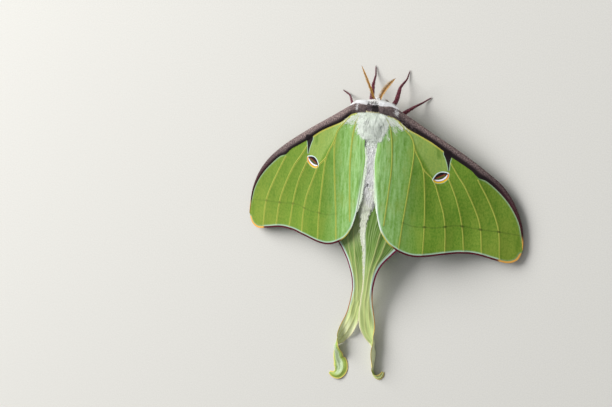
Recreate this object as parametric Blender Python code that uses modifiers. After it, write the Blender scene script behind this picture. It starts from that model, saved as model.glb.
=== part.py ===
# A luna moth at rest with its wings spread, life size, on its feet and on the ends of its tails.
# The head points along +Y, the back is up and the floor is z = 0. Lengths below are millimetres,
# measured from under the thorax; the last lines move all of it so that the origin is under the middle.
import math
import random

import bmesh
import bpy
import numpy as np
from mathutils import Matrix, Vector
from mathutils.geometry import delaunay_2d_cdt

MM = 0.001
GAP = 0.3
MIDDLE_Y = -29.1

# Wing sheet: flat over the back out to the hinge, then drooping ever more steeply
HINGE_X = 3.5
HINGE_Z = 11.0
WING_DROOP = math.radians(10.8)
WING_CURL = 0.0008
MEMBRANE = 0.52
VEIN_CREST = 0.92
VEIN_HALF_WIDTH = 0.6

# Forewing, as distance out from the midline along the sheet, and distance towards the head
COSTA = [(5.0, 8.3), (7.3, 7.7), (12.9, 4.8), (18.4, 1.8), (24.1, -1.2), (29.7, -4.3), (35.1, -7.6),
         (40.2, -11.2), (43.5, -14.5), (46.0, -18.3), (47.9, -23.0), (48.6, -28.0), (48.2, -31.0)]
WING_EDGE = [(48.2, -31.0), (47.2, -33.3), (44.6, -34.4), (40.3, -33.9), (35.0, -33.0), (30.0, -33.1),
             (25.0, -34.0), (20.0, -35.1), (15.3, -35.6), (11.0, -34.6), (7.6, -32.5), (5.2, -29.4),
             (3.6, -24.7), (2.8, -19.5), (2.2, -13.5), (1.8, -8.5), (2.2, -4.0)]
WING_ROOT = [(4.45, -2.1), (4.45, 4.6), (4.65, 5.2), (4.65, 7.6)]
BAND_INNER = [(5.4, 5.4), (7.7, 4.6), (11.5, 2.0), (15.2, 0.4), (19.2, -1.4), (22.3, -3.4), (25.2, -5.2),
              (28.2, -6.6), (31.7, -8.5), (33.8, -10.3), (36.5, -11.4), (40.0, -14.0), (42.7, -16.7),
              (44.9, -19.8), (46.4, -23.2), (47.3, -27.0)]
BAND_RIDGE_AT = 0.4
BAND_RIDGE = (1.75, 0.85)
BAND_OUTER_EDGE = 0.75
FOREWING_VEINS = [
    [(5.6, 2.6), (6.9, -3.0), (7.2, -10.0), (6.7, -18.0), (5.9, -27.3)],
    [(11.0, 1.3), (12.6, -0.2), (13.7, -2.6), (13.8, -7.0), (12.9, -16.0), (11.8, -25.3), (11.0, -33.4)],
    [(14.4, -4.6), (16.9, -9.2), (17.8, -15.0), (18.5, -25.4), (18.5, -34.2)],
    [(18.0, -10.4), (22.5, -17.6), (24.3, -22.6), (25.1, -28.0), (25.3, -32.9)],
    [(25.2, -11.4), (27.9, -17.8), (29.9, -24.8), (31.0, -32.0)],
    [(25.8, -7.4), (30.2, -13.6), (33.6, -19.8), (35.5, -24.8), (36.5, -32.0)],
    [(34.6, -12.2), (36.9, -15.9), (39.6, -21.0), (41.3, -26.0), (42.0, -33.0)],
]

# Hindwing, as distance out from the swung midline of the tails, and distance towards the head
HINDWING_TOP = 9.7
TAIL_LIE = 0.3
TAIL_FALL = (-30.0, -73.0)
LEFT_UNDER = 1.2
LEFT_UNDER_FADE = (-56.0, -62.0)
SWING = [(-20.0, 0.0), (-36.0, -1.25), (-41.0, -2.05), (-45.0, -2.5), (-48.0, -3.0), (-51.0, -3.7),
         (-54.4, -4.4), (-58.4, -5.0), (-62.4, -5.6)]
TAIL_CUT = -52.0
HIND_OUTER = [(4.75, 1.0), (7.5, -1.8), (12.0, -6.8), (16.5, -12.6), (19.4, -19.0), (20.1, -24.5),
              (18.4, -28.8), (15.2, -31.6), (12.4, -33.3), (10.2, -35.2), (7.1, -38.8), (5.7, -41.2),
              (4.6, -44.2), (4.0, -48.0)]
HIND_INNER = {
    1: [(0.0, -50.4), (0.25, -46.5), (0.15, -41.0), (-0.6, -35.1), (-1.3, -31.5), (-2.0, -27.5),
        (-0.9, -24.0), (1.6, -20.8), (2.7, -17.0), (2.8, -10.0), (3.0, -4.4), (4.75, -1.8)],
    -1: [(-0.9, -50.4), (-1.1, -46.5), (-1.0, -41.0), (-0.3, -35.1), (0.4, -31.0), (1.3, -27.0),
         (2.4, -23.4), (2.8, -19.5), (2.8, -10.0), (3.0, -4.4), (4.75, -1.8)],
}
HIND_TAIL_END = {1: (0.0, 4.3), -1: (-0.8, 4.3)}
HINDWING_VEINS = [
    [(6.0, -2.0), (10.8, -9.5), (15.6, -19.0), (16.6, -28.0)],
    [(5.6, -3.4), (9.6, -13.0), (12.2, -24.0), (11.0, -32.4)],
    [(4.9, -4.4), (7.4, -15.0), (8.4, -25.0), (6.6, -34.0), (4.0, -42.0), (2.9, -50.0)],
    [(4.7, -6.6), (5.2, -17.0), (5.4, -27.0), (3.9, -36.0), (2.3, -44.0), (1.6, -50.0)],
]

# Tails: a ribbon that narrows, turns on its edge and rests on the floor.
# Each row is x, y, half width, turn about its own length and curl across it, both in degrees.
# The first row is added where the hindwing is cut.
TAIL_CREST = 0.85
TAIL_STATIONS = {
    1: [(-2.2, -56.0, 2.75, 0, 0), (-2.3, -59.6, 3.0, 6, 10),
        (-1.9, -62.2, 2.8, 22, 25), (-0.95, -64.9, 2.5, 48, 45), (-0.3, -67.2, 2.2, 72, 60),
        (-0.35, -69.2, 2.1, 68, 55), (-0.45, -71.2, 1.9, 56, 40), (-0.45, -73.0, 1.5, 62, 35),
        (0.1, -74.5, 1.1, 52, 25), (1.4, -75.0, 0.95, 40, 15), (2.5, -74.3, 0.8, 35, 10),
        (3.0, -73.1, 0.5, 30, 0)],
    -1: [(-7.2, -55.6, 2.4, 0, 0), (-8.3, -58.6, 2.4, -6, 10),
         (-9.7, -61.6, 2.35, -22, 30), (-11.2, -64.0, 2.3, -50, 60), (-12.3, -65.8, 2.3, -84, 88),
         (-12.6, -67.3, 2.3, -125, 70), (-12.8, -69.0, 2.35, -158, 40), (-12.9, -70.8, 2.1, -172, 20),
         (-12.3, -72.4, 2.45, -180, 10), (-12.1, -74.2, 2.4, -180, 8), (-12.9, -75.8, 1.9, -176, 8),
         (-14.4, -76.4, 1.05, -168, 8), (-15.9, -76.0, 0.45, -160, 0)],
}

# Trunk and its coat: rounded boxes given by centre, half size and roundness
THORAX = ((0.0, 1.5, 8.1), (4.4, 4.2, 4.4), 2.8)
THORAX_ENDS = (-1.8, 4.7)
COLLAR = ((0.0, 6.4, 7.9), (4.9, 2.6, 3.7), 2.5)
COLLAR_BACK = 5.0
NECK_TOP = (8.35, 11.0)
NECK_BOTTOM = (6.5, 4.0)
HEAD = ((0.0, 7.6, 7.1), (2.3, 2.4, 2.3), 2.1)
EYE = (1.75, 8.75, 6.9)
EYE_RADIUS = 1.15
PALP = ((0.55, 9.4, 5.4), (0.45, 10.3, 4.9))
ABDOMEN_LENGTH = 22.6
ABDOMEN_Z = 7.6
ABDOMEN_RINGS = 7
ABDOMEN_RADII = (2.55, 2.85, 2.9, 2.7, 2.4, 2.05, 1.55)

# Coat: rows of flat locks over the back, a few on the flanks and belly, and a crest over the head
LOCK_ROWS = (4.1, 2.9, 1.7, 0.5, -0.6, -1.4)
LOCK_STEP = 13
LOCKS_A_ROW = 7
FLANKS = (-168, -147, 147, 168)
LOCK_LENGTH = 2.6
LOCK_WIDTH = 1.6
LOCK_THICKNESS = 0.8
CREST_ANGLES = (-76, -36, -24, -12, 0, 12, 24, 36, 76)
CREST_Y = 7.6
CREST_LENGTH = 2.4
SEED = 5

# Feelers: centre lines and the comb on them
FEELERS = {
    1: [(1.3, 10.3, 9.2), (2.6, 12.0, 10.1), (5.0, 14.4, 11.2), (7.5, 16.6, 12.0)],
    -1: [(-1.1, 10.3, 9.1), (-1.9, 12.4, 9.5), (-3.6, 15.8, 9.7), (-5.7, 19.2, 9.6)],
}
FEELER_SEAT = (24, 9.2)
FEELER_RADIUS = (0.3, 0.26)
RAMUS_LENGTH = 1.0
RAMUS_SPACING = 0.82
RAMUS_RADIUS = 0.26

# Legs: the part and the angle and place on it that each leaves, then its knee, shin, ankle and foot
LEG_RADII = (0.62, 0.56, 0.5, 0.36, 0.3)
LEGS = {
    "leg_front_right": (COLLAR, 132, 6.2,
                        [(3.9, 9.4, 4.4), (4.4, 13.4, 3.4), (5.0, 15.8, 0.8), (5.5, 18.2, 0.25)]),
    "leg_front_left": (COLLAR, -132, 6.2,
                       [(-4.6, 9.2, 4.4), (-5.0, 13.6, 3.3), (-5.8, 16.2, 0.8), (-6.3, 18.7, 0.25)]),
    "leg_middle_right": (THORAX, 124, 3.3,
                         [(6.2, 5.4, 4.9), (9.2, 7.6, 4.2), (11.2, 9.5, 0.8), (13.3, 11.0, 0.25)]),
    "leg_middle_left": (THORAX, -124, 3.3,
                        [(-6.6, 5.0, 5.1), (-11.2, 7.3, 4.4), (-14.4, 9.4, 0.8), (-17.1, 10.6, 0.25)]),
    "leg_hind_right": (THORAX, 124, 0.2,
                       [(6.0, -2.6, 4.6), (8.6, -6.8, 4.3), (10.2, -12.0, 0.8), (10.9, -15.4, 0.25)]),
    "leg_hind_left": (THORAX, -124, 0.2,
                      [(-6.0, -2.6, 4.6), (-8.6, -6.8, 4.3), (-10.2, -12.0, 0.8), (-10.9, -15.4, 0.25)]),
}

for old in list(bpy.data.objects):
    bpy.data.objects.remove(old)

moth = bpy.data.collections.new("Luna moth")
bpy.context.scene.collection.children.link(moth)
helpers = bpy.data.collections.new("Helpers")
helpers.hide_render = True
bpy.context.scene.collection.children.link(helpers)


def finish(name, colour, roughness):
    material = bpy.data.materials.new(name)
    material.use_nodes = True
    shader = material.node_tree.nodes["Principled BSDF"]
    shader.inputs["Base Color"].default_value = (*colour, 1.0)
    shader.inputs["Roughness"].default_value = roughness
    shader.inputs["Metallic"].default_value = 0.0
    return material


GREEN = finish("Wing green", (0.27, 0.45, 0.14), 0.6)
PALE_GREEN = finish("Tail yellow green", (0.50, 0.58, 0.26), 0.6)
WOOL = finish("White wool", (0.70, 0.70, 0.66), 0.9)
PURPLE = finish("Purple brown", (0.16, 0.08, 0.10), 0.8)
OCHRE = finish("Ochre feeler", (0.50, 0.26, 0.05), 0.7)
MAROON = finish("Maroon leg", (0.19, 0.03, 0.06), 0.7)
DARK = finish("Dark eye", (0.02, 0.012, 0.01), 0.25)


def blend(value, start, end):
    # 0 at start and 1 at end, with level ends
    t = min(max((value - start) / (end - start), 0.0), 1.0)
    return t * t * (3 - 2 * t)


def smooth(points, step):
    # A curve through the points, read about every step; numbers past x and y ride along
    points = np.array(points, float)
    ends = np.vstack([2 * points[0] - points[1], points, 2 * points[-1] - points[-2]])
    curve = [points[0]]
    for a, b, c, d in zip(ends, ends[1:], ends[2:], ends[3:]):
        count = max(1, round(np.linalg.norm((c - b)[:3 if len(b) == 3 else 2]) / step))
        for t in np.linspace(0, 1, count + 1)[1:]:
            curve.append(0.5 * (2 * b + (c - a) * t + (2 * a - 5 * b + 4 * c - d) * t**2
                                + (3 * b - a - 3 * c + d) * t**3))
    return np.array(curve)


def add_object(name, mesh, material):
    mesh.materials.clear()
    mesh.materials.append(material)
    for polygon in mesh.polygons:
        polygon.material_index = 0
    mesh.shade_smooth()
    mesh.set_sharp_from_angle(angle=math.radians(45))
    made = bpy.data.objects.new(name, mesh)
    moth.objects.link(made)
    return made


def mesh_from(builder, name):
    mesh = bpy.data.meshes.new(name)
    builder.to_mesh(mesh)
    builder.free()
    return mesh


def applied(made):
    # The object's shape with its modifiers, as a plain mesh; the object goes
    graph = bpy.context.evaluated_depsgraph_get()
    mesh = bpy.data.meshes.new_from_object(made.evaluated_get(graph))
    mesh.transform(made.matrix_world)
    bpy.data.objects.remove(made)
    return mesh


def set_down(mesh):
    # Points below the floor are raised to it, which leaves a small flat
    for vertex in mesh.vertices:
        vertex.co.z = max(vertex.co.z, 0.0)


def sheet_drop(out):
    # How far and how deep the wing sheet reaches when it is followed outwards
    reach = max(out - HINGE_X, 0.0)
    angle = WING_DROOP + WING_CURL * reach
    across = (math.sin(angle) - math.sin(WING_DROOP)) / WING_CURL
    down = (math.cos(WING_DROOP) - math.cos(angle)) / WING_CURL
    return min(out, HINGE_X) + across, down


def forewing_point(out, y, side):
    x, down = sheet_drop(out)
    return Vector((side * x, y, HINGE_Z - down)) * MM


def tail_height(y):
    return TAIL_LIE + (HINDWING_TOP - TAIL_LIE) * (1 - blend(y, *TAIL_FALL))


def under_drop(y, side):
    # The left wing slips under the right one behind the abdomen
    if side > 0:
        return 0.0
    return LEFT_UNDER * (1 - blend(y, *LEFT_UNDER_FADE)) * blend(y, -8.0, -20.0)


def swing(y):
    # How far the hindwings lean to the left at this distance behind the head
    places = np.array(SWING)[::-1]
    return float(np.interp(y, places[:, 0], places[:, 1]))


def hindwing_point(out, y, side):
    x, down = sheet_drop(abs(out))
    z = tail_height(y) - down * (1 - blend(y, -30.0, -60.0)) - under_drop(y, side)
    return Vector((side * math.copysign(x, out) + swing(y), y, z)) * MM


def vein_lines(veins):
    # For each vein three lines of points with their thickness, the crest and its two feet.
    # A foot that crosses another vein is raised to that vein's own height there.
    crests = [smooth(vein, 3.6) for vein in veins]
    dense = [smooth(vein, 0.3) for vein in veins]
    lines = []
    for number, line in enumerate(crests):
        lines.append((line, VEIN_CREST))
        along = np.gradient(line, axis=0)
        across = np.stack([-along[:, 1], along[:, 0]], 1) / np.linalg.norm(along, axis=1)[:, None]
        others = np.vstack([path for other, path in enumerate(dense) if other != number])
        for way in (1, -1):
            foot = line + across * way * VEIN_HALF_WIDTH
            away = np.array([np.hypot(*(others - spot).T).min() for spot in foot])
            share = np.clip(1 - away / VEIN_HALF_WIDTH, 0, 1)
            lines.append((foot, MEMBRANE + (VEIN_CREST - MEMBRANE) * share))
    return lines


def membrane(name, edge, lines, place, material, spread):
    # A sheet cut along its edge and its ridges, thick at each point as given, alike on both faces
    points, thick, joins = [], [], []
    outline = edge[0]
    for path, depth in [edge] + lines:
        first = len(points)
        depths = depth if isinstance(depth, (list, np.ndarray)) else [depth] * len(path)
        points += [Vector(p) for p in path]
        thick += list(depths)
        joins += [(first + i, first + i + 1) for i in range(len(path) - 1)]
        if path is outline:
            joins.append((first + len(path) - 1, first))
    taken = np.array([tuple(p) for p in points])
    low, high = taken.min(axis=0), taken.max(axis=0)
    for x in np.arange(low[0] + spread / 2, high[0], spread):
        for y in np.arange(low[1] + spread / 2, high[1], spread):
            if np.hypot(*(taken - (x, y)).T).min() > 0.55 * spread:
                points.append(Vector((x, y)))
                thick.append(MEMBRANE)
    flat, _, faces, origin, _, _ = delaunay_2d_cdt(points, joins, [], 1, 0.02)
    known = np.array([tuple(p) for p in points])
    depth = []
    for spot, sources in zip(flat, origin):
        nearest = sources or [int(np.hypot(*(known - tuple(spot)).T).argmin())]
        depth.append(max(thick[i] for i in nearest))
    mesh = bpy.data.meshes.new(name)
    mesh.from_pydata([place(p.x, p.y) for p in flat], [], [list(face) for face in faces])
    mesh.update()
    if sum(polygon.normal.z for polygon in mesh.polygons) < 0:
        mesh.flip_normals()
    made = add_object(name, mesh, material)
    group = made.vertex_groups.new(name="Thickness")
    most = max(depth)
    for index, value in enumerate(depth):
        group.add([index], value / most, "REPLACE")
    thicken = made.modifiers.new("Thickness", "SOLIDIFY")
    thicken.thickness = most * MM
    thicken.offset = 0.0
    thicken.vertex_group = group.name
    return made


def build_forewing(name, side):
    costa = smooth(COSTA, 2.6)
    edge = np.vstack([costa, smooth(WING_EDGE, 2.6)[1:], WING_ROOT])
    share = np.linspace(0, 1, len(costa))
    rim = np.concatenate([BAND_OUTER_EDGE + (MEMBRANE - BAND_OUTER_EDGE) * share,
                          np.full(len(edge) - len(costa), MEMBRANE)])
    inner = smooth(BAND_INNER, 2.6)
    even = np.linspace(0.03, 0.97, 20)
    outer = np.stack([np.interp(even, share, costa[:, i]) for i in (0, 1)], 1)
    along = np.linspace(0, 1, len(inner))
    inner_even = np.stack([np.interp(even, along, inner[:, i]) for i in (0, 1)], 1)
    crest = outer + (inner_even - outer) * BAND_RIDGE_AT
    heights = np.interp(even, [0, 1], BAND_RIDGE)
    lines = [(crest, heights), (inner, MEMBRANE)] + vein_lines(FOREWING_VEINS)
    return membrane(name, (edge, rim), lines, lambda a, b: forewing_point(a, b, side), GREEN, 5.2)


def build_hindwing(name, side):
    inner_end, outer_end = HIND_TAIL_END[side]
    cut = TAIL_CUT + GAP / 2
    outer = smooth(HIND_OUTER + [(outer_end, cut)], 2.8)
    inner = smooth([(inner_end, cut)] + HIND_INNER[side], 2.8)
    edge = np.vstack([outer, inner])
    lines = vein_lines(HINDWING_VEINS)
    return membrane(name, (edge, MEMBRANE), lines, lambda a, b: hindwing_point(a, b, side), GREEN, 4.6)


def build_tail(name, side):
    # Rows across the ribbon, each bent by its curl and turned about the ribbon's length
    start = TAIL_CUT - GAP / 2
    inner, outer = HIND_TAIL_END[side]
    first = (side * (inner + outer) / 2 + swing(start), start, (outer - inner) / 2, 0, 0)
    rows = smooth([first] + TAIL_STATIONS[side], 1.5)
    across = np.array([-1.0, -0.42, 0.0, 0.42, 1.0])
    path = rows[:, :2]
    along = np.gradient(path, axis=0)
    along /= np.linalg.norm(along, axis=1)[:, None]
    points = []
    for (x, y, width, turn, curl), (ax, ay) in zip(rows, along):
        curl = math.radians(max(curl, 2.0))
        turn = math.radians(turn)
        radius = width / curl
        sideways = radius * np.sin(curl * across)
        raised = radius * (1 - np.cos(curl * across)) * 0.8
        square = blend(y, start, start - 4.0)
        right = np.array([1 - square - square * ay, square * ax])
        flat = sideways * math.cos(turn) - raised * math.sin(turn)
        up = sideways * math.sin(turn) + raised * math.cos(turn)
        flat -= (flat.max() + flat.min()) / 2
        height = max(tail_height(y) - under_drop(y, side), TAIL_LIE * 0.75 - up.min())
        for f, u in zip(flat, up):
            points.append(Vector((x + right[0] * f, y + right[1] * f, height + u)) * MM)
    count = len(across)
    faces = []
    for i in range(len(rows) - 1):
        for j in range(count - 1):
            a, b = i * count + j, i * count + j + 1
            c, d = a + count, b + count
            faces += [(a, b, d), (a, d, c)] if j < 2 else [(a, b, c), (b, d, c)]
    mesh = bpy.data.meshes.new(name)
    mesh.from_pydata(points, [], faces)
    mesh.update()
    if mesh.polygons[0].normal.z < 0:
        mesh.flip_normals()
    made = add_object(name, mesh, PALE_GREEN)
    group = made.vertex_groups.new(name="Thickness")
    for index in range(len(points)):
        middle = index % count == 2
        group.add([index], 1.0 if middle else MEMBRANE / TAIL_CREST, "REPLACE")
    thicken = made.modifiers.new("Thickness", "SOLIDIFY")
    thicken.thickness = TAIL_CREST * MM
    thicken.offset = 0.0
    thicken.vertex_group = group.name
    solid = applied(made)
    set_down(solid)
    return add_object(name, solid, PALE_GREEN)


def rounded_point(shape, theta, y):
    # The point of a rounded box at an angle from straight up, and its outward direction there
    centre, half, power = shape
    left = max(1 - abs((y - centre[1]) / half[1]) ** power, 0.02) ** (1 / power)
    s, c = math.sin(theta), math.cos(theta)
    radius = (abs(s / half[0]) ** power + abs(c / half[2]) ** power) ** (-1 / power) * left
    spot = Vector((centre[0] + radius * s, y, centre[2] + radius * c))
    normal = Vector((
        math.copysign(abs((spot.x - centre[0]) / half[0]) ** (power - 1), s) / half[0],
        math.copysign(abs((y - centre[1]) / half[1]) ** (power - 1), y - centre[1]) / half[1],
        math.copysign(abs((spot.z - centre[2]) / half[2]) ** (power - 1), c) / half[2],
    ))
    return spot, normal.normalized()


def rounded_mesh(name, shape, cuts, segments):
    # A rounded box from a ball, trimmed by planes that are given by a point and an outward direction
    centre, half, power = shape
    builder = bmesh.new()
    bmesh.ops.create_uvsphere(builder, u_segments=segments, v_segments=segments * 2 // 3, radius=1.0)
    for vertex in builder.verts:
        way = vertex.co.normalized()
        scale = sum(abs(value) ** power for value in way) ** (-1 / power)
        vertex.co = Vector(
            [(centre[i] + half[i] * value * scale) * MM for i, value in enumerate((way.x, way.z, way.y))])
    for spot, normal in cuts:
        everything = builder.verts[:] + builder.edges[:] + builder.faces[:]
        cut = bmesh.ops.bisect_plane(
            builder, geom=everything, dist=1e-7, plane_co=Vector(spot) * MM, plane_no=normal, clear_outer=True)
        rim = [item for item in cut["geom_cut"] if isinstance(item, bmesh.types.BMEdge)]
        bmesh.ops.contextual_create(builder, geom=rim)
    bmesh.ops.recalc_face_normals(builder, faces=builder.faces[:])
    return mesh_from(builder, name)


def loft(name, rings):
    # A closed skin through rings of equal count, with flat ends
    builder = bmesh.new()
    loops = [[builder.verts.new(Vector(point) * MM) for point in ring] for ring in rings]
    for first, second in zip(loops, loops[1:]):
        for i in range(len(first)):
            j = (i + 1) % len(first)
            builder.faces.new((first[i], first[j], second[j], second[i]))
    builder.faces.new(loops[0][::-1])
    builder.faces.new(loops[-1])
    bmesh.ops.recalc_face_normals(builder, faces=builder.faces[:])
    return mesh_from(builder, name)


def keep_largest(mesh):
    # Only the surface with the most volume stays
    builder = bmesh.new()
    builder.from_mesh(mesh)
    left = set(builder.verts)
    groups = []
    while left:
        queue = [left.pop()]
        group = set(queue)
        while queue:
            for link in queue.pop().link_edges:
                for vertex in link.verts:
                    if vertex in left:
                        left.remove(vertex)
                        group.add(vertex)
                        queue.append(vertex)
        groups.append(group)
    sizes = []
    for group in groups:
        faces = {face for vertex in group for face in vertex.link_faces}
        volume = 0.0
        for face in faces:
            corners = [vertex.co for vertex in face.verts]
            for b, c in zip(corners[1:], corners[2:]):
                volume += corners[0].dot(b.cross(c)) / 6
        sizes.append(volume)
    best = groups[int(np.argmax(sizes))]
    bmesh.ops.delete(builder, geom=[v for v in builder.verts if v not in best], context="VERTS")
    builder.to_mesh(mesh)
    builder.free()


def join(name, core, pieces, material, cut=False):
    # The core with the pieces fused to it, or cut from it
    gathered = bpy.data.collections.new(name + " pieces")
    helpers.children.link(gathered)
    for number, piece in enumerate(pieces):
        helper = bpy.data.objects.new(f"{name} piece {number}", piece)
        helper.hide_render = True
        helper.display_type = "WIRE"
        gathered.objects.link(helper)
    made = add_object(name, core, material)
    boolean = made.modifiers.new("Join", "BOOLEAN")
    boolean.operation = "DIFFERENCE" if cut else "UNION"
    boolean.operand_type = "COLLECTION"
    boolean.collection = gathered
    boolean.solver = "MANIFOLD"
    fused = applied(made)
    for helper in list(gathered.objects):
        bpy.data.objects.remove(helper)
    bpy.data.collections.remove(gathered)
    keep_largest(fused)
    return fused


def tube(name, points, radii, sides=3):
    # A round tapering tube along the points, closed at both ends
    curve = bpy.data.curves.new(name, "CURVE")
    curve.dimensions = "3D"
    curve.bevel_depth = MM
    curve.bevel_resolution = sides
    curve.use_fill_caps = True
    path = curve.splines.new("POLY")
    path.points.add(len(points) - 1)
    for spot, point, radius in zip(path.points, points, radii):
        spot.co = (*(Vector(point) * MM), 1.0)
        spot.radius = radius
    made = bpy.data.objects.new(name, curve)
    moth.objects.link(made)
    mesh = applied(made)
    bpy.data.curves.remove(curve)
    builder = bmesh.new()
    builder.from_mesh(mesh)
    bmesh.ops.remove_doubles(builder, verts=builder.verts[:], dist=1e-7)
    bmesh.ops.recalc_face_normals(builder, faces=builder.faces[:])
    builder.to_mesh(mesh)
    builder.free()
    return mesh


def lock(shape, theta, y, reach, last, draw):
    # A flat lock that leaves the coat low, swells and tapers; a negative reach points to the tail.
    # The lock follows the shape as far as the last y and runs straight on beyond it.
    rings = []
    lift = draw.uniform(0.3, 0.6)
    sway = math.radians(draw.uniform(-5, 5))
    for share, rise, width, thickness in ((0.0, -0.9, 0.7, 0.9), (0.3, 0.1, 1.0, 1.0),
                                          (0.65, lift, 0.8, 0.7), (1.0, lift * 0.8, 0.12, 0.25)):
        at = y + reach * (share - 0.1)
        followed = min(at, last) if reach > 0 else max(at, last)
        spot, normal = rounded_point(shape, theta + sway * share, followed)
        normal = Vector((normal.x, 0.0, normal.z)).normalized()
        spot = Vector((spot.x, at, spot.z)) + normal * rise
        across = Vector((normal.z, 0.0, -normal.x)) * LOCK_WIDTH * width / 2
        out = normal * LOCK_THICKNESS * thickness / 2
        rings.append([spot + across, spot + out, spot - across, spot - out])
    return loft("lock", rings)


def build_thorax():
    back, front = THORAX_ENDS
    core = rounded_mesh("thorax core", THORAX, [((0, front, 0), (0, 1, 0)), ((0, back, 0), (0, -1, 0))], 24)
    draw = random.Random(SEED)
    locks = []
    for row, y in enumerate(LOCK_ROWS):
        count = LOCKS_A_ROW - row % 2
        angles = [LOCK_STEP * (place - (count - 1) / 2) for place in range(count)]
        if row % 2:
            angles += FLANKS
        for theta in angles:
            length = LOCK_LENGTH * draw.uniform(0.85, 1.15)
            locks.append(lock(THORAX, math.radians(theta), y, -length, back + 0.3, draw))
    return add_object("thorax", join("thorax", core, locks, WOOL), WOOL)


def neck_cut(offset, forward):
    # The slanting plane between collar and head, moved forwards by the offset
    (top_y, top_z), (low_y, low_z) = NECK_TOP, NECK_BOTTOM
    normal = Vector((0, top_z - low_z, low_y - top_y)).normalized()
    spot = Vector((0, top_y, top_z)) + normal * offset
    return spot, normal if forward else -normal


def build_collar():
    cuts = [((0, COLLAR_BACK, 0), (0, -1, 0)), neck_cut(0.0, True)]
    core = rounded_mesh("collar core", COLLAR, cuts, 24)
    draw = random.Random(SEED)
    crest = [lock(COLLAR, math.radians(theta), CREST_Y, CREST_LENGTH * draw.uniform(0.85, 1.1), CREST_Y, draw)
             for theta in CREST_ANGLES]
    return add_object("collar", join("collar", core, crest, PURPLE), PURPLE)


def ball(name, centre, radius, segments=16):
    builder = bmesh.new()
    bmesh.ops.create_uvsphere(builder, u_segments=segments, v_segments=segments * 2 // 3, radius=radius * MM)
    bmesh.ops.translate(builder, verts=builder.verts[:], vec=Vector(centre) * MM)
    return mesh_from(builder, name)


def build_head():
    core = rounded_mesh("head core", HEAD, [neck_cut(GAP, False)], 22)
    root, tip = PALP
    palps = [tube("palp", [(side * root[0], *root[1:]), (side * tip[0], *tip[1:])], (0.42, 0.2), 1)
             for side in (1, -1)]
    whole = join("head", core, palps, WOOL)
    sockets = [ball("socket", (side * EYE[0], *EYE[1:]), EYE_RADIUS + GAP) for side in (1, -1)]
    carved = join("head", whole, sockets, WOOL, cut=True)
    return add_object("head", carved, WOOL)


def build_abdomen():
    # A turned row of rings, each a little fuller behind than in front
    profile = [(ABDOMEN_RADII[0] * 0.9, 0.0)]
    step = (ABDOMEN_LENGTH - 1.6) / ABDOMEN_RINGS
    for ring, radius in enumerate(ABDOMEN_RADII):
        for share, swell in ((0.2, 0.95), (0.6, 1.0), (1.0, 0.9)):
            profile.append((radius * swell, step * (ring + share)))
    profile += [(ABDOMEN_RADII[-1] * 0.6, ABDOMEN_LENGTH - 0.6), (0.35, ABDOMEN_LENGTH)]
    mesh = bpy.data.meshes.new("abdomen profile")
    line = [(0.0, 0.0)] + profile + [(0.0, ABDOMEN_LENGTH)]
    mesh.from_pydata([(x * MM, 0.0, -z * MM) for x, z in line], [(i, i + 1) for i in range(len(line) - 1)], [])
    made = bpy.data.objects.new("abdomen profile", mesh)
    moth.objects.link(made)
    turn = made.modifiers.new("Turn", "SCREW")
    turn.steps = 18
    turn.render_steps = 18
    turn.use_merge_vertices = True
    turn.merge_threshold = 0.00001
    made.rotation_euler.x = math.radians(-90)
    made.location = Vector((0, THORAX_ENDS[0] - GAP, ABDOMEN_Z)) * MM
    bpy.context.view_layer.update()
    return add_object("abdomen", applied(made), WOOL)


def build_feeler(name, side):
    theta, y = FEELER_SEAT
    spot, normal = rounded_point(HEAD, math.radians(side * theta), y)
    seat = spot + normal * GAP
    path = smooth([seat, seat + normal * 0.5] + FEELERS[side], 0.9)
    radii = np.linspace(*FEELER_RADIUS, len(path))
    radii[-1] *= 0.5
    shaft = tube("shaft", path, radii, 1)
    lengths = np.concatenate([[0], np.cumsum(np.linalg.norm(np.diff(path, axis=0), axis=1))])
    rami = []
    for along in np.arange(1.3, lengths[-1] - 0.5, RAMUS_SPACING):
        share = along / lengths[-1]
        root = Vector([float(np.interp(along, lengths, path[:, i])) for i in range(3)])
        ahead = Vector([float(np.interp(along + 0.3, lengths, path[:, i])) for i in range(3)])
        forward = (ahead - root).normalized()
        level = forward.cross(Vector((0, 0, 1))).normalized()
        size = RAMUS_LENGTH * (math.sin(math.pi * min(share + 0.12, 1.0)) ** 0.5 + 0.15)
        for way in (1, -1):
            reach = (level * way + forward * 0.55 + Vector((0, 0, 0.45))).normalized() * size
            start = root + forward * way * 0.07 - reach.normalized() * 0.04
            rami.append(tube("ramus", [start, start + reach], (RAMUS_RADIUS, 0.1), 0))
    return add_object(name, join(name, shaft, rami, OCHRE), OCHRE)


def build_leg(name, shape, theta, y, joints):
    spot, normal = rounded_point(shape, math.radians(theta), y)
    root = spot + normal * GAP
    path = smooth([root, root + normal * 0.9] + [Vector(joint) for joint in joints], 1.7)
    radii = np.interp(np.linspace(0, 1, len(path)), np.linspace(0, 1, len(LEG_RADII)), LEG_RADII)
    mesh = tube(name, path, radii, 2)
    set_down(mesh)
    return add_object(name, mesh, MAROON)


build_thorax()
build_collar()
build_head()
build_abdomen()
for side, word in ((1, "right"), (-1, "left")):
    add_object(f"eye_{word}", ball("eye", (side * EYE[0], *EYE[1:]), EYE_RADIUS), DARK)
    build_feeler(f"antenna_{word}", side)
    build_forewing(f"forewing_{word}", side)
    build_hindwing(f"hindwing_{word}", side)
    build_tail(f"tail_{word}", side)
for leg, (shape, theta, y, joints) in LEGS.items():
    build_leg(leg, shape, theta, y, joints)
for made in moth.objects:
    made.data.transform(Matrix.Translation((0.0, -MIDDLE_Y * MM, 0.0)))
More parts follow.
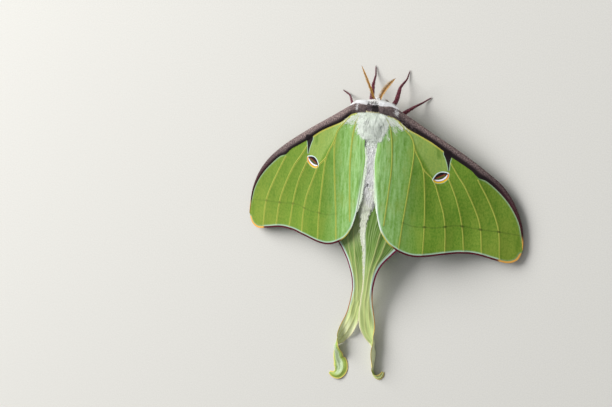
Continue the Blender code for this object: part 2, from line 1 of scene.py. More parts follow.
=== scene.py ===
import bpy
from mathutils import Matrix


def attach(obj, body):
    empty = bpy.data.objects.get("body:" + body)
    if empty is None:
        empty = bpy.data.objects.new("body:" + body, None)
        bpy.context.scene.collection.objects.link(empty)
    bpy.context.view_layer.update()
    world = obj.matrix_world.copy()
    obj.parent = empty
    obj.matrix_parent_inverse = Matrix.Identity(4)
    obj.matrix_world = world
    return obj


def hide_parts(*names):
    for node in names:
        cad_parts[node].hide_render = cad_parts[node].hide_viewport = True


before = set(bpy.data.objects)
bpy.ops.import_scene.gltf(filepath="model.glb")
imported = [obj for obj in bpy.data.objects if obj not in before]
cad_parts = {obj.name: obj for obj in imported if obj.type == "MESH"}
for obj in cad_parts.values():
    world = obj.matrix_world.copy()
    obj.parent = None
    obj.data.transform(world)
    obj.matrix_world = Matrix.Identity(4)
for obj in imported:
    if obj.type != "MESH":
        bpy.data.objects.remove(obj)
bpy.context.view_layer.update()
print("frame loaded with", len(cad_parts), "nodes")

import math

import bpy
import numpy as np
from mathutils import Matrix

# Lengths are in millimetres round a point on the floor under the thorax, with the head along +y.
# The record's origin lies further back, so every piece moves forward by headward when it is made.
mm = 0.001
headward = 29.1
dice = np.random.default_rng(23)
bothSides = ((1, "Right"), (-1, "Left"))
# the side of the patch that each tuft has on the map for baking
patchSize = 0.003
# thin parts stay this far over the floor
floorGap = 0.02
# rows of a vein's tube, and of the coarser path that distances to it are taken from
veinRows, coarseRows = 60, 24


# Shapes: curves, distances and closed skins, all worked out as whole arrays

def ease(x, start, end):
    # 0 at start, 1 at end and level at both: 3 t^2 - 2 t^3
    t = np.clip((x - start) / (end - start), 0, 1)
    return t * t * (3 - 2 * t)


def unit(vectors):
    # Each vector over its own length
    return vectors / np.maximum(np.linalg.norm(vectors, axis=-1, keepdims=True), 1e-9)


def curveThrough(points, count, measured=2):
    # Catmull-Rom: each span is a cubic whose slope at a point is half the chord of its neighbours.
    # It is read at even steps of the length of its first measured columns.
    p = np.asarray(points, float)
    p = np.vstack([2 * p[0] - p[1], p, 2 * p[-1] - p[-2]])
    a, b, c, d = p[:-3, None], p[1:-2, None], p[2:-1, None], p[3:, None]
    t = np.linspace(0, 1, 30, endpoint=False)[None, :, None]
    dense = 0.5 * (2 * b + (c - a) * t + (2 * a - 5 * b + 4 * c - d) * t**2 + (3 * b - a - 3 * c + d) * t**3)
    dense = np.vstack([dense.reshape(-1, p.shape[1]), p[-2]])
    length = np.append(0, np.cumsum(np.linalg.norm(np.diff(dense[:, :measured], axis=0), axis=1)))
    at = np.linspace(0, length[-1], count)
    return np.stack([np.interp(at, length, column) for column in dense.T], 1)


def readAt(path, row):
    # The path's place at a row number that may lie between two of its rows
    return np.stack([np.interp(row, np.arange(len(path)), column) for column in path.T], 1)


def distanceTo(spots, path):
    # Least distance to the straight spans of a path: |p - a - t (b - a)| with t clipped to 0..1.
    # The second answer is +1 on the path's left, and the third how far along it the nearest place is.
    a, along = path[:-1], np.diff(path, axis=0)
    away = spots[:, None] - a[None]
    t = np.clip((away * along).sum(-1) / (along**2).sum(-1), 0, 1)
    gap = np.linalg.norm(away - t[..., None] * along, axis=-1)
    best = gap.argmin(1)
    row = np.arange(len(spots))
    side = np.sign(along[best, 0] * away[row, best, 1] - along[best, 1] * away[row, best, 0])
    return gap[row, best], side, (best + t[row, best]) / len(a)


def gather(parts):
    # Several parts, each (points, face groups, values), as one
    points, faces, values, first = [], [], {}, 0
    for some, groups, named in parts:
        points.append(some)
        faces += [group + first for group in groups]
        first += len(some)
        for key, value in named.items():
            values.setdefault(key, []).append(value)
    return np.concatenate(points), faces, {key: np.concatenate(value) for key, value in values.items()}


def shell(top, bottom):
    # Two grids of points, one over the other, closed by a rim of quads
    rows, columns = top.shape[:2]
    index = np.arange(rows * columns).reshape(rows, columns)
    quads = np.stack([index[:-1, :-1], index[:-1, 1:], index[1:, 1:], index[1:, :-1]], -1).reshape(-1, 4)
    ring = np.concatenate([index[0], index[1:, -1], index[-1, -2::-1], index[-2:0:-1, 0]])
    after = np.roll(ring, -1)
    below = rows * columns
    rim = np.stack([after, ring, ring + below, after + below], 1)
    return np.concatenate([top.reshape(-1, 3), bottom.reshape(-1, 3)]), [quads, quads[:, ::-1] + below, rim]


def eachTwice(values):
    # The values of a shell's top, given to its bottom too
    return {key: np.concatenate([value, value]) for key, value in values.items()}


def skinRound(rings):
    # Rings of points, each closed on itself and joined to the next, with a flat face on either end
    rows, sides = rings.shape[:2]
    r, c = np.arange(rows - 1)[:, None] * sides, np.arange(sides)[None]
    n = (c + 1) % sides
    quads = np.stack([r + c, r + n, r + sides + n, r + sides + c], -1).reshape(-1, 4)
    first = np.arange(sides)[None]
    return rings.reshape(-1, 3), [quads, first[:, ::-1], first + (rows - 1) * sides]


def tube(path, radius, sides, up=(0.0, 0.0, 1.0)):
    # A ring round each point of a path: p + radius (s cos a + u sin a), with s and u square to the path
    forward = unit(np.gradient(path, axis=0))
    across = unit(np.cross(forward, np.broadcast_to(up, path.shape)))
    above = np.cross(across, forward)
    angle = np.linspace(0, 2 * np.pi, sides, endpoint=False)[None, :, None]
    radius = np.broadcast_to(radius, len(path))[:, None, None]
    ring = across[:, None] * np.cos(angle) + above[:, None] * np.sin(angle)
    return skinRound(path[:, None] + radius * ring)


def veinTube(path, radius, values):
    # A six-sided tube whose rings carry the values of the path
    points, faces = tube(path, radius, 6)
    return points, faces, {key: np.repeat(value, 6, axis=0) for key, value in values.items()}


def addObject(name, data):
    thing = bpy.data.objects.new(name, data)
    bpy.context.scene.collection.objects.link(thing)
    return thing


def makePiece(name, part, finish, slotName, replaced=(), smooth=True):
    # Puts a part's arrays into a mesh and lets it ride on the model. A negative volume, the sum of
    # a . (b x c) over its triangles, says that its faces point inwards, and they are turned.
    points, faces, values = part
    world = ((points + (0, headward, 0)) * mm).astype(np.float32)
    spots = [[world[column] for column in group.T] for group in faces]
    volume = sum(np.einsum("ij,ij->i", a[0], np.cross(b, c)).sum()
                 for a in spots for b, c in zip(a[1:-1], a[2:]))
    faces = [group[:, ::-1] for group in faces] if volume < 0 else faces
    corners = np.concatenate([group.ravel() for group in faces]).astype(np.int32)
    sizes = np.concatenate([np.full(len(group), group.shape[1]) for group in faces])
    mesh = bpy.data.meshes.new(name)
    mesh.vertices.add(len(world))
    mesh.vertices.foreach_set("co", world.ravel())
    mesh.loops.add(len(corners))
    mesh.loops.foreach_set("vertex_index", corners)
    mesh.polygons.add(len(sizes))
    mesh.polygons.foreach_set("loop_start", np.append(0, np.cumsum(sizes)[:-1]).astype(np.int32))
    mesh.polygons.foreach_set("use_smooth", np.full(len(sizes), smooth))
    mesh.update(calc_edges=True)
    for key, value in values.items():
        value = value.astype(np.float32)
        if key == "OFBake":
            mesh.uv_layers.new(name=key).data.foreach_set("uv", value[corners].ravel())
        elif value.ndim == 2:
            mesh.attributes.new(key, "FLOAT_VECTOR", "POINT").data.foreach_set("vector", value.ravel())
        else:
            mesh.attributes.new(key, "FLOAT", "POINT").data.foreach_set("value", value)
    mesh.materials.append(finish)
    piece = addObject(name, mesh)
    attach(piece, "root")
    if replaced:
        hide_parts(*replaced)
    print(" ", name, len(points), "points", int((sizes - 2).sum()), "triangles")
    return piece


# Shader values, which add, multiply and ramp as numbers do

class Value:
    # An output in a node tree. Working with it adds the node that does the sum.
    def __init__(self, tree, socket):
        self.tree, self.socket = tree, socket

    def make(self, kind, inputs, output=0, **settings):
        return Value(self.tree, addNode(self.tree, kind, inputs, **settings).outputs[output])

    def calc(self, operation, *values):
        return self.make("ShaderNodeMath", enumerate(values), operation=operation)

    def __add__(self, other):
        return self.calc("ADD", self, other)

    def __sub__(self, other):
        return self.calc("SUBTRACT", self, other)

    def __rsub__(self, other):
        return self.calc("SUBTRACT", other, self)

    def __mul__(self, other):
        return self.calc("MULTIPLY", self, other)

    def __truediv__(self, other):
        return self.calc("DIVIDE", self, other)

    def __abs__(self):
        return self.calc("ABSOLUTE", self)

    def atLeast(self, other):
        return self.calc("MAXIMUM", self, other)

    def ramp(self, start, end):
        # 0 at start and 1 at end, with level ends; start may be the larger
        return self.make("ShaderNodeMapRange", {"Value": self, "From Min": start, "From Max": end},
                         interpolation_type="SMOOTHSTEP")

    def parts(self):
        # x, y and z of a vector
        outputs = addNode(self.tree, "ShaderNodeSeparateXYZ", {0: self}).outputs
        return [Value(self.tree, part) for part in outputs]

    def stretched(self, across, along):
        # The vector scaled, so that a noise on it draws out into streaks
        return self.make("ShaderNodeMapping", {"Vector": self, "Scale": (across, along, 1.0)})

    def noise(self, scale, detail=2.0, roughness=0.5):
        return self.make("ShaderNodeTexNoise", {"Vector": self, "Scale": scale, "Detail": detail,
                                                "Roughness": roughness}, "Fac")


def colour(red, green, blue):
    # A screen colour from 0 to 255 as the linear one that a shader takes
    screen = np.array([red, green, blue]) / 255
    return (*np.where(screen < 0.04045, screen / 12.92, ((screen + 0.055) / 1.055) ** 2.4).tolist(), 1.0)


def shadesOf(colours):
    return {name: colour(*value) for name, value in colours.items()}


def feed(tree, socket, value):
    if isinstance(value, Value):
        tree.links.new(value.socket, socket)
    else:
        socket.default_value = value


def addNode(tree, kind, inputs=(), **settings):
    node = tree.nodes.new(kind)
    for name, value in settings.items():
        setattr(node, name, value)
    for key, value in dict(inputs).items():
        feed(tree, node.inputs[key], value)
    return node


def attribute(tree, name, vector=False):
    node = addNode(tree, "ShaderNodeAttribute", attribute_name=name)
    return Value(tree, node.outputs["Vector" if vector else "Fac"])


def objectPlace(tree):
    return Value(tree, addNode(tree, "ShaderNodeTexCoord").outputs["Object"])


def paint(under, over, share):
    # One colour laid over another by a share
    return share.make("ShaderNodeMix", {0: share, 6: under, 7: over}, 2, data_type="RGBA")


def layers(ground, shades, rows):
    # Colours laid over a ground one after another, each by a share of its own
    for name, share in rows:
        ground = paint(ground, shades[name], share)
    return ground


def newFinish(name, roughness, sheen=0.0, specular=0.3):
    material = bpy.data.materials.new(name)
    material.use_nodes = True
    inputs = material.node_tree.nodes["Principled BSDF"].inputs
    for key, value in (("Roughness", roughness), ("Sheen Weight", sheen), ("Specular IOR Level", specular)):
        inputs[key].default_value = value
    return material, material.node_tree


def dress(material, surface, height=None, strength=0.0, distance=0.0):
    # Gives a finish its colour, and a bump where it has a height
    tree, inputs = material.node_tree, material.node_tree.nodes["Principled BSDF"].inputs
    feed(tree, inputs["Base Color"], surface)
    if height is not None:
        feed(tree, inputs["Normal"], height.make("ShaderNodeBump", {"Height": height, "Strength": strength,
                                                                    "Distance": distance}))
    return material


def newGroup(name, **inputs):
    # A shader node group: an input of three numbers is a vector, and one of four a colour
    tree = bpy.data.node_groups.new(name, "ShaderNodeTree")
    for label, value in inputs.items():
        kind = {3: "Vector", 4: "Color"}[len(value)] if isinstance(value, tuple) else "Float"
        socket = tree.interface.new_socket(name=label, in_out="INPUT", socket_type="NodeSocket" + kind)
        socket.default_value = value
    given = tree.nodes.new("NodeGroupInput").outputs
    return tree, *(Value(tree, given[label]) for label in inputs)


def closeGroup(tree, **results):
    # The group's named outputs, each of its value's own kind
    kinds = {"RGBA": "NodeSocketColor", "VALUE": "NodeSocketFloat", "VECTOR": "NodeSocketVector"}
    for label, value in results.items():
        tree.interface.new_socket(name=label, in_out="OUTPUT", socket_type=kinds[value.socket.type])
    addNode(tree, "NodeGroupOutput", results)
    return tree


def useGroup(tree, group, **inputs):
    outputs = addNode(tree, "ShaderNodeGroup", inputs, node_tree=group).outputs
    return {socket.name: Value(tree, socket) for socket in outputs}


# Effects that several materials share

def buildHairShade():
    # Colour of a hair: root to tip by the share along it, times 1 - spread (1 - tint)
    tree, root, tip, along, tint, spread = newGroup(
        "hairShade", Root=(0.5, 0.5, 0.5, 1.0), Tip=(0.8, 0.8, 0.8, 1.0), Along=0.0, Tint=0.5, Spread=0.2)
    mixed = paint(root, tip, along.ramp(0, 0.85))
    bright = (tint - 1) * spread + 1
    return closeGroup(tree, Colour=mixed.make("ShaderNodeHueSaturation", {"Color": mixed, "Value": bright}))


def buildScaleGrain():
    # Fine rows of scales: two noises, one drawn out along the wing's length, as a shade and a height
    tree, chart, fineness, streak = newGroup("scaleGrain", Chart=(0.0, 0.0, 0.0), Fineness=1.0, Streak=0.5)
    fine = chart.stretched(1.9, 1.3).noise(fineness, 4, 0.65)
    streaks = chart.stretched(1.1, 0.16).noise(fineness, 4, 0.62)
    shade = fine.make("ShaderNodeMix", {0: streak, 2: fine, 3: streaks})
    return closeGroup(tree, Shade=shade, Height=fine * 0.6 + streaks * 0.4)


eyeSpotLook = {
    "turn": math.radians(25.9),
    "size": 0.93,
    "colours": {"ring": (206, 226, 226), "yellow": (222, 184, 44), "amber": (226, 150, 46),
                "maroon": (96, 18, 44), "white": (238, 234, 244), "black": (20, 14, 16),
                "olive": (88, 104, 44), "red": (150, 52, 22)},
}


def buildEyeSpot():
    # An eye-shaped spot, with a along it and b across, in millimetres. Its upper edge is the arc
    # b = h (1 - (a / l)^2), its lower half is a set of ellipses (a / l)^2 + (b / h)^2 = 1 in each other.
    shade = shadesOf(eyeSpotLook["colours"])
    tree, chart, centre, turn = newGroup("eyeSpot", Chart=(0.0, 0.0, 0.0), Centre=(0.0, 0.0, 0.0), Turn=0.0)
    away = chart.make("ShaderNodeVectorMath", {0: chart, 1: centre}, operation="SUBTRACT")
    turned = away.make("ShaderNodeVectorRotate", {"Vector": away, "Angle": turn * -1}, rotation_type="Z_AXIS")
    a, b = (part / eyeSpotLook["size"] for part in turned.parts()[:2])
    square = a * a

    def under(length, height, extra=0.0):
        # 1 below the arc of this length and height, raised by extra
        return (b - (square * (-height / length**2) + (height + extra))).ramp(0.08, -0.08)

    def oval(length, height):
        # 1 inside an ellipse of this length and height
        return (b * b * (1 / height**2) + square * (1 / length**2)).ramp(1.07, 0.93)

    upper = under(2.75, 1.3)
    inner = upper * oval(2.85, 1.93)
    pupil = upper * (1 - under(2.35, -0.72))
    near = square.ramp(4, 1.5) * pupil
    ring = under(3.0, 1.34, 0.26) * oval(2.98, 2.06) * (b.ramp(-0.7, 0.1) * 0.65 + 0.35)
    whole = paint(shade["ring"], paint(shade["yellow"], shade["amber"], a.ramp(0.8, 2.4)), inner)
    whole = layers(whole, shade, [
        ("maroon", upper * oval(2.42, 1.38)),
        ("white", upper * oval(2.3, 1.22)),
        ("black", pupil),
        ("olive", b.ramp(-0.5, -0.35) * b.ramp(0.2, -0.05) * near * 0.75),
        ("red", b.ramp(0, 0.15) * b.ramp(0.42, 0.28) * near * 0.8),
    ])
    return closeGroup(tree, Colour=whole, Mask=inner.atLeast(ring))


def buildRimLines():
    # The wing's border: a dark or orange edge, and a pale line just inside it
    tree, base, edge, edgeColour, edgeWidth, paleColour, paleWidth, paleShare = newGroup(
        "rimLines", Base=(0.0, 0.0, 0.0, 1.0), Edge=1.0, EdgeColour=(0.1, 0.0, 0.0, 1.0), EdgeWidth=0.3,
        PaleColour=(0.6, 0.7, 0.7, 1.0), PaleWidth=0.8, PaleShare=1.0)
    inner = edgeWidth + paleWidth
    lined = paint(base, paleColour, edge.ramp(inner + 0.4, inner - 0.3) * paleShare)
    return closeGroup(tree, Colour=paint(lined, edgeColour, edge.ramp(edgeWidth + 0.08, edgeWidth - 0.08)))


hairShade = buildHairShade()
scaleGrain = buildScaleGrain()
eyeSpot = buildEyeSpot()
rimLines = buildRimLines()


def withEyeSpot(ground, chart, centre, turn):
    spot = useGroup(chart.tree, eyeSpot, Chart=chart, Centre=centre, Turn=turn)
    return paint(ground, spot["Colour"], spot["Mask"])


print("shader groups built")


# Wings: both pairs lie on one sheet that droops from a hinge over the back

wingSheet = {"hinge": 3.5, "height": 11.0, "droop": math.radians(10.8), "curl": 0.0008}


def alongSheet(out):
    # Followed outwards by r past the hinge, the sheet has turned down by a = droop + curl r,
    # so it reaches (sin a - sin droop) / curl and falls (cos droop - cos a) / curl
    hinge, droop, curl = wingSheet["hinge"], wingSheet["droop"], wingSheet["curl"]
    reach = np.maximum(np.abs(out) - hinge, 0)
    angle = droop + curl * reach
    x = np.minimum(np.abs(out), hinge) + (np.sin(angle) - math.sin(droop)) / curl
    down = (math.cos(droop) - np.cos(angle)) / curl
    return np.copysign(x, out), down, np.where(reach > 0, angle, 0.0)


forewing = {
    "leading": [(2, 8), (4.2, 8.1), (5.2, 8.2), (7.3, 7.7), (12.9, 4.8), (18.4, 1.8), (24.1, -1.2),
                (29.7, -4.3), (35.1, -7.6), (40.2, -11.2), (43.5, -14.5), (46, -18.3), (47.9, -23),
                (48.6, -27.6), (48.65, -29.9)],
    "trailing": [(2, -1.5), (2.2, -3), (2.2, -4.8), (1.8, -8.5), (2.2, -13.5), (2.8, -19.5), (3.6, -24.7),
                 (5.2, -29.4), (7.6, -32.5), (11, -34.6), (15.3, -35.6), (20, -35.1), (25, -34),
                 (30, -33.1), (35, -33), (40.3, -33.9), (44.4, -34.4), (47, -33.4), (48.2, -31.6)],
    "band": [(2, 6), (4.2, 5.6), (5.4, 5.3), (7.7, 4.6), (11.5, 2), (15.2, 0.4), (19.2, -1.4),
             (22.3, -3.2), (25.2, -5), (28.2, -6.6), (31.7, -8.5), (33.8, -10.3), (36.5, -11.2),
             (40, -13.7), (43, -16.5), (45.4, -19.6), (47.15, -23.1), (48.1, -27), (48.5, -30)],
    "cross": [(8, -25.4), (11.7, -25.8), (15, -26.6), (18.7, -26.4), (21.9, -26.3), (24.8, -25.7),
              (27.5, -25.1), (30.1, -25), (33.2, -25.3), (36, -25.4), (38.6, -25.5), (41.5, -25.5),
              (46.6, -25.9), (49, -26.2)],
    "veins": [
        [(4.6, 4.6), (6, 2), (6.9, -3), (7.2, -10), (6.7, -18), (5.9, -27.3)],
        [(8.6, 3.6), (11, 1.3), (12.6, -0.2), (13.7, -2.6), (13.8, -7), (12.9, -16), (11.8, -25.3),
         (11, -34.2)],
        [(13.7, -2.6), (14.4, -4.6), (16.9, -9.2), (17.8, -15), (18.5, -25.4), (18.5, -35)],
        [(16.9, -9.2), (18, -10.4), (20.4, -12.6), (22.5, -17.6), (24.3, -22.6), (25.1, -28),
         (25.3, -33.7)],
        [(25, -11.6), (27.9, -17.8), (29.9, -24.8), (31, -32.8)],
        [(25.3, -6.9), (27.6, -10.2), (30.2, -13.6), (33.6, -19.8), (35.5, -24.8), (36.5, -32.9)],
        [(33.9, -11), (34.6, -12.2), (36.9, -15.9), (39.6, -21), (41.3, -26), (42, -33.8)],
    ],
    "veinRadius": (0.11, 0.07),
    "thickness": 0.2,
    "bandHeight": (0.66, 0.2),
    "sag": 0.12,
    "rows": 190,
    "columns": 110,
}
for name, count in (("leading", 90), ("trailing", 120), ("band", 80), ("cross", 50)):
    forewing[name + "Path"] = curveThrough(forewing[name], count)
forewing["veinPaths"] = [curveThrough(vein, coarseRows) for vein in forewing["veins"]]


def forewingFields(chart):
    # Distances, in mm, that the wing's relief and colours follow
    lead, _, _ = distanceTo(chart, forewing["leadingPath"])
    trail, _, place = distanceTo(chart, forewing["trailingPath"])
    band, bandSide, bandPlace = distanceTo(chart, forewing["bandPath"])
    cross, crossSide, _ = distanceTo(chart, forewing["crossPath"])
    vein = np.min([distanceTo(chart, path)[0] for path in forewing["veinPaths"]], axis=0)
    return {"lead": lead, "trail": trail, "place": place, "band": band * bandSide, "bandPlace": bandPlace,
            "cross": cross * crossSide, "vein": vein}


def forewingSurface(chart, side):
    # Centre of the sheet with its sags and waves, its upward direction, and half its thickness there.
    # Between veins it sags by sag (1 - exp(-(d / 1.6)^2)); the band swells by the root of sin(pi share).
    fields = forewingFields(chart)
    lead, band, place = fields["lead"], fields["band"], fields["bandPlace"]
    x, down, angle = alongSheet(chart[:, 0])
    normal = np.stack([side * np.sin(angle), np.zeros_like(x), np.cos(angle)], 1)
    share = lead / np.maximum(lead + np.clip(band, 0, None), 0.05)
    first, last = forewing["bandHeight"]
    swell = np.where(band > 0, np.sqrt(np.clip(np.sin(np.pi * share), 0, 1)), 0)
    swell = swell * (first + (last - first) * place ** 0.8) * (0.35 + 0.65 * ease(place, 0, 0.09))
    sag = forewing["sag"] * (1 - np.exp(-(fields["vein"] / 1.6) ** 2))
    sag = sag * ease(chart[:, 0], 5, 14) * ease(lead, 0.5, 5)
    wave = 0.22 * np.sin(chart[:, 0] * 0.33 + 0.6) * np.sin(chart[:, 1] * 0.2 + 1.0)
    wave = wave * ease(chart[:, 0], 6, 22)
    centre = np.stack([side * x, chart[:, 1], wingSheet["height"] - down], 1) + normal * (wave - sag)[:, None]
    thin = 0.3 + 0.7 * ease(np.minimum(fields["trail"], lead * 3), 0, 1.2)
    half = forewing["thickness"] / 2 * thin + 0.05 * np.exp(-(fields["vein"] / 0.45) ** 2)
    return centre, normal, half, swell, fields


def fieldValues(chart, fields):
    # The values that the wing's finish reads
    return {"chart": np.column_stack([chart, np.zeros(len(chart))]),
            "edges": np.stack([fields["trail"], fields["lead"], fields["place"]], 1),
            "marks": np.stack([fields["band"], fields["cross"], fields["vein"]], 1),
            "along": fields["bandPlace"]}


def buildForewing(side):
    # point(u, v) = (1 - v) leading(u) + v trailing(u) on the sheet, with columns closer under the band
    look = forewing
    v = (np.linspace(0, 1, look["columns"]) ** 1.25)[None, :, None]
    lead = curveThrough(look["leading"], look["rows"])[:, None]
    trail = curveThrough(look["trailing"], look["rows"])[:, None]
    chart = (lead * (1 - v) + trail * v).reshape(-1, 2)
    centre, normal, half, swell, fields = forewingSurface(chart, side)
    shape = (look["rows"], look["columns"], 3)
    top = (centre + normal * (half + swell)[:, None]).reshape(shape)
    bottom = (centre - normal * (half + swell * 0.6)[:, None]).reshape(shape)
    return *shell(top, bottom), eachTwice(fieldValues(chart, fields))


def buildForewingVeins(side):
    # A thin tapering tube along each vein, on both faces of the wing
    parts = []
    for vein in forewing["veins"]:
        chart = curveThrough(vein, veinRows)
        centre, normal, half, swell, fields = forewingSurface(chart, side)
        radius = np.linspace(*forewing["veinRadius"], len(chart))
        radius = radius * (0.35 + 0.65 * ease(fields["trail"], 0.1, 1.5))
        for way in (1, -1):
            path = centre + normal * way * (half * 0.9 + swell + radius * 0.2)[:, None]
            parts.append(veinTube(path, radius, fieldValues(chart, fields)))
    return gather(parts)


forewingColours = {
    "green": (95, 136, 36), "deep": (71, 112, 19), "mint": (140, 192, 96), "yellowish": (133, 149, 54),
    "frosty": (158, 184, 100), "vein": (184, 188, 84), "line": (62, 80, 20), "band": (80, 64, 66),
    "frost": (158, 138, 132), "bandDark": (24, 14, 18), "gold": (196, 186, 84), "pale": (186, 216, 200),
    "maroon": (82, 20, 32), "orange": (226, 168, 82), "fringe": (222, 232, 220),
}


def buildForewingFinish():
    # Layers from the wing's ground to its border, each placed by the wing's own distances
    shade = shadesOf(forewingColours)
    material, tree = newFinish("forewingScales", 0.6, 0.04, 0.12)
    chart = attribute(tree, "chart", True)
    out, y, _ = chart.parts()
    trail, lead, place = attribute(tree, "edges", True).parts()
    band, cross, vein = attribute(tree, "marks", True).parts()
    along = attribute(tree, "along")
    # 1 on the left wing, which the key light falls on; it carries the painted light of the left wing and its
    # band
    leftWingLit = objectPlace(tree).parts()[0].ramp(0, -0.001)
    grain = useGroup(tree, scaleGrain, Chart=chart, Fineness=1.0, Streak=out.ramp(22, 4) * 0.55 + 0.2)
    streak = grain["Shade"].ramp(0.34, 0.66)
    cloud = chart.stretched(0.22, 0.12).noise(1.0, 3, 0.6)
    # ground: mint by the body, frosty in the cell by the spot, deeper green between the outer veins
    middle = y.ramp(-3, -14) * y.ramp(-30, -20) * out.ramp(8, 18)
    cell = (out * 1.49 + y).ramp(17.6, 19.2) * out.ramp(24.6, 23.8) * y.ramp(-14, -10)
    dot = vein.ramp(0.8, 0.1) * 0.16 + 0.15
    crossed = abs(cross).ramp(dot + 0.18, dot - 0.12) * out.ramp(9, 15) * (vein.ramp(1, 0.2) * 0.4 + 0.36)
    ground = layers(shade["green"], shade, [
        ("mint", out.ramp(20, 2) * 0.85),
        ("yellowish", out.ramp(26, 46) * 0.6),
        ("deep", middle * 0.5),
        ("frosty", cell * 0.8),
        ("deep", (1 - streak) * 0.5),
        ("fringe", streak * out.ramp(20, 3) * 0.2),
        ("yellowish", streak * out.ramp(8, 20) * 0.5),
        ("deep", cloud.ramp(0.46, 0.3) * 0.45),
        ("yellowish", cloud.ramp(0.5, 0.7) * 0.3),
        ("deep", vein.ramp(0.7, 0.25) * 0.35),
        # painted light: the left wing is painted a little more yellow, with wider pale veins and a fainter
        # cross line, because light falls on it from the left
        ("yellowish", leftWingLit * out.ramp(14, 26) * 0.12),
        ("vein", vein.ramp(leftWingLit * 0.14 + 0.32, 0.08) * 0.85),
        ("fringe", out.ramp(4.8, 3.6) * y.ramp(-3, 0)),
        ("line", crossed * (leftWingLit * -0.4 + 1)),
        ("gold", band.ramp(-0.6, -0.25) * out.ramp(25, 23) * out.ramp(3, 5) * 0.8),
        ("pale", band.ramp(-0.55, -0.1) * out.ramp(33, 36) * out.ramp(48.3, 47.3) * 0.34),
    ])
    # border: white fringe by the body, gold at the inner corner, maroon along the end, orange round the tip
    tip, corner, shown = out.ramp(41.2, 42.2), place.ramp(0.425, 0.47), place.ramp(0.12, 0.3)
    border = layers(shade["mint"], shade, [
        ("fringe", shown), ("gold", place.ramp(0.36, 0.4)), ("maroon", corner), ("orange", tip)])
    paleShare = (place.ramp(0.3, 0.44) * 0.45 + 0.42) * (tip * -0.7 + 1) * shown
    ground = useGroup(tree, rimLines, Base=ground, Edge=trail, EdgeColour=border,
                      EdgeWidth=(1 - corner) * -0.2 + 0.56, PaleColour=shade["pale"], PaleWidth=0.22,
                      PaleShare=paleShare)["Colour"]
    # costal band: frosted and speckled along the top, nearly black below, orange where it runs out at the
    # tip. The speckled frost is the band's own. The light top and black lower side are partly the band's own
    # colour and partly painted highlight and painted shade. On the left band the frost reaches further and
    # the black side is thinner, as painted light from the left.
    speck = chart.stretched(2.5, 2.5).noise(1.0, 4, 0.8)
    fromLead = lead / (lead + band).atLeast(0.1)
    fromLeadLit = fromLead - leftWingLit * 0.2
    costa = layers(shade["band"], shade, [
        ("bandDark", along.ramp(0.4, 0.9) * 0.5),
        ("frost", fromLeadLit.ramp(0.66, 0.2) * speck.ramp(0.42, 0.6) * (along.ramp(0.35, 0.8) * -0.75 + 1)),
        ("bandDark", fromLeadLit.ramp(0.36, 0.68) * 0.97),
        ("bandDark", speck.ramp(0.5, 0.38) * 0.45),
        ("bandDark", along.ramp(0.1, 0.05) * 0.2),
        ("maroon", along.ramp(0.6, 0.9) * 0.5),
        ("orange", along.ramp(0.93, 0.97)),
    ])
    # stalk from the band down to the eye spot: |out - middle| under a width that narrows downwards
    t = (-4.6 - y) / 4.4
    thin = 1 - t.make("ShaderNodeClamp", {0: t})
    offset = abs(out - (t * 0.45 + 24.3)) - (thin * thin * 0.85 + (thin * 0.3 + 0.14))
    reach = y.ramp(-9.3, -9) * y.ramp(-3, -3.6)
    ground = layers(paint(ground, costa, band.ramp(-0.06, 0.06)), shade, [
        ("pale", offset.ramp(0.34, 0.1) * reach * band.ramp(0, -0.5) * 0.55),
        ("bandDark", offset.ramp(0.1, -0.1) * reach),
    ])
    ground = withEyeSpot(ground, chart, (22.5, -11.2, 0.0), eyeSpotLook["turn"])
    return dress(material, ground, speck * band.ramp(-0.1, 0.1) * 2 + grain["Height"], 0.4, 0.00012)


forewingFinish = buildForewingFinish()
for side, word in bothSides:
    makePiece("forewing" + word, buildForewing(side), forewingFinish, "wing", ["forewing_" + word.lower()])
    makePiece("forewingVeins" + word, buildForewingVeins(side), forewingFinish, "wing")
print("forewings built")


# Hindwings: each is one skin from its root to the end of its twisted tail

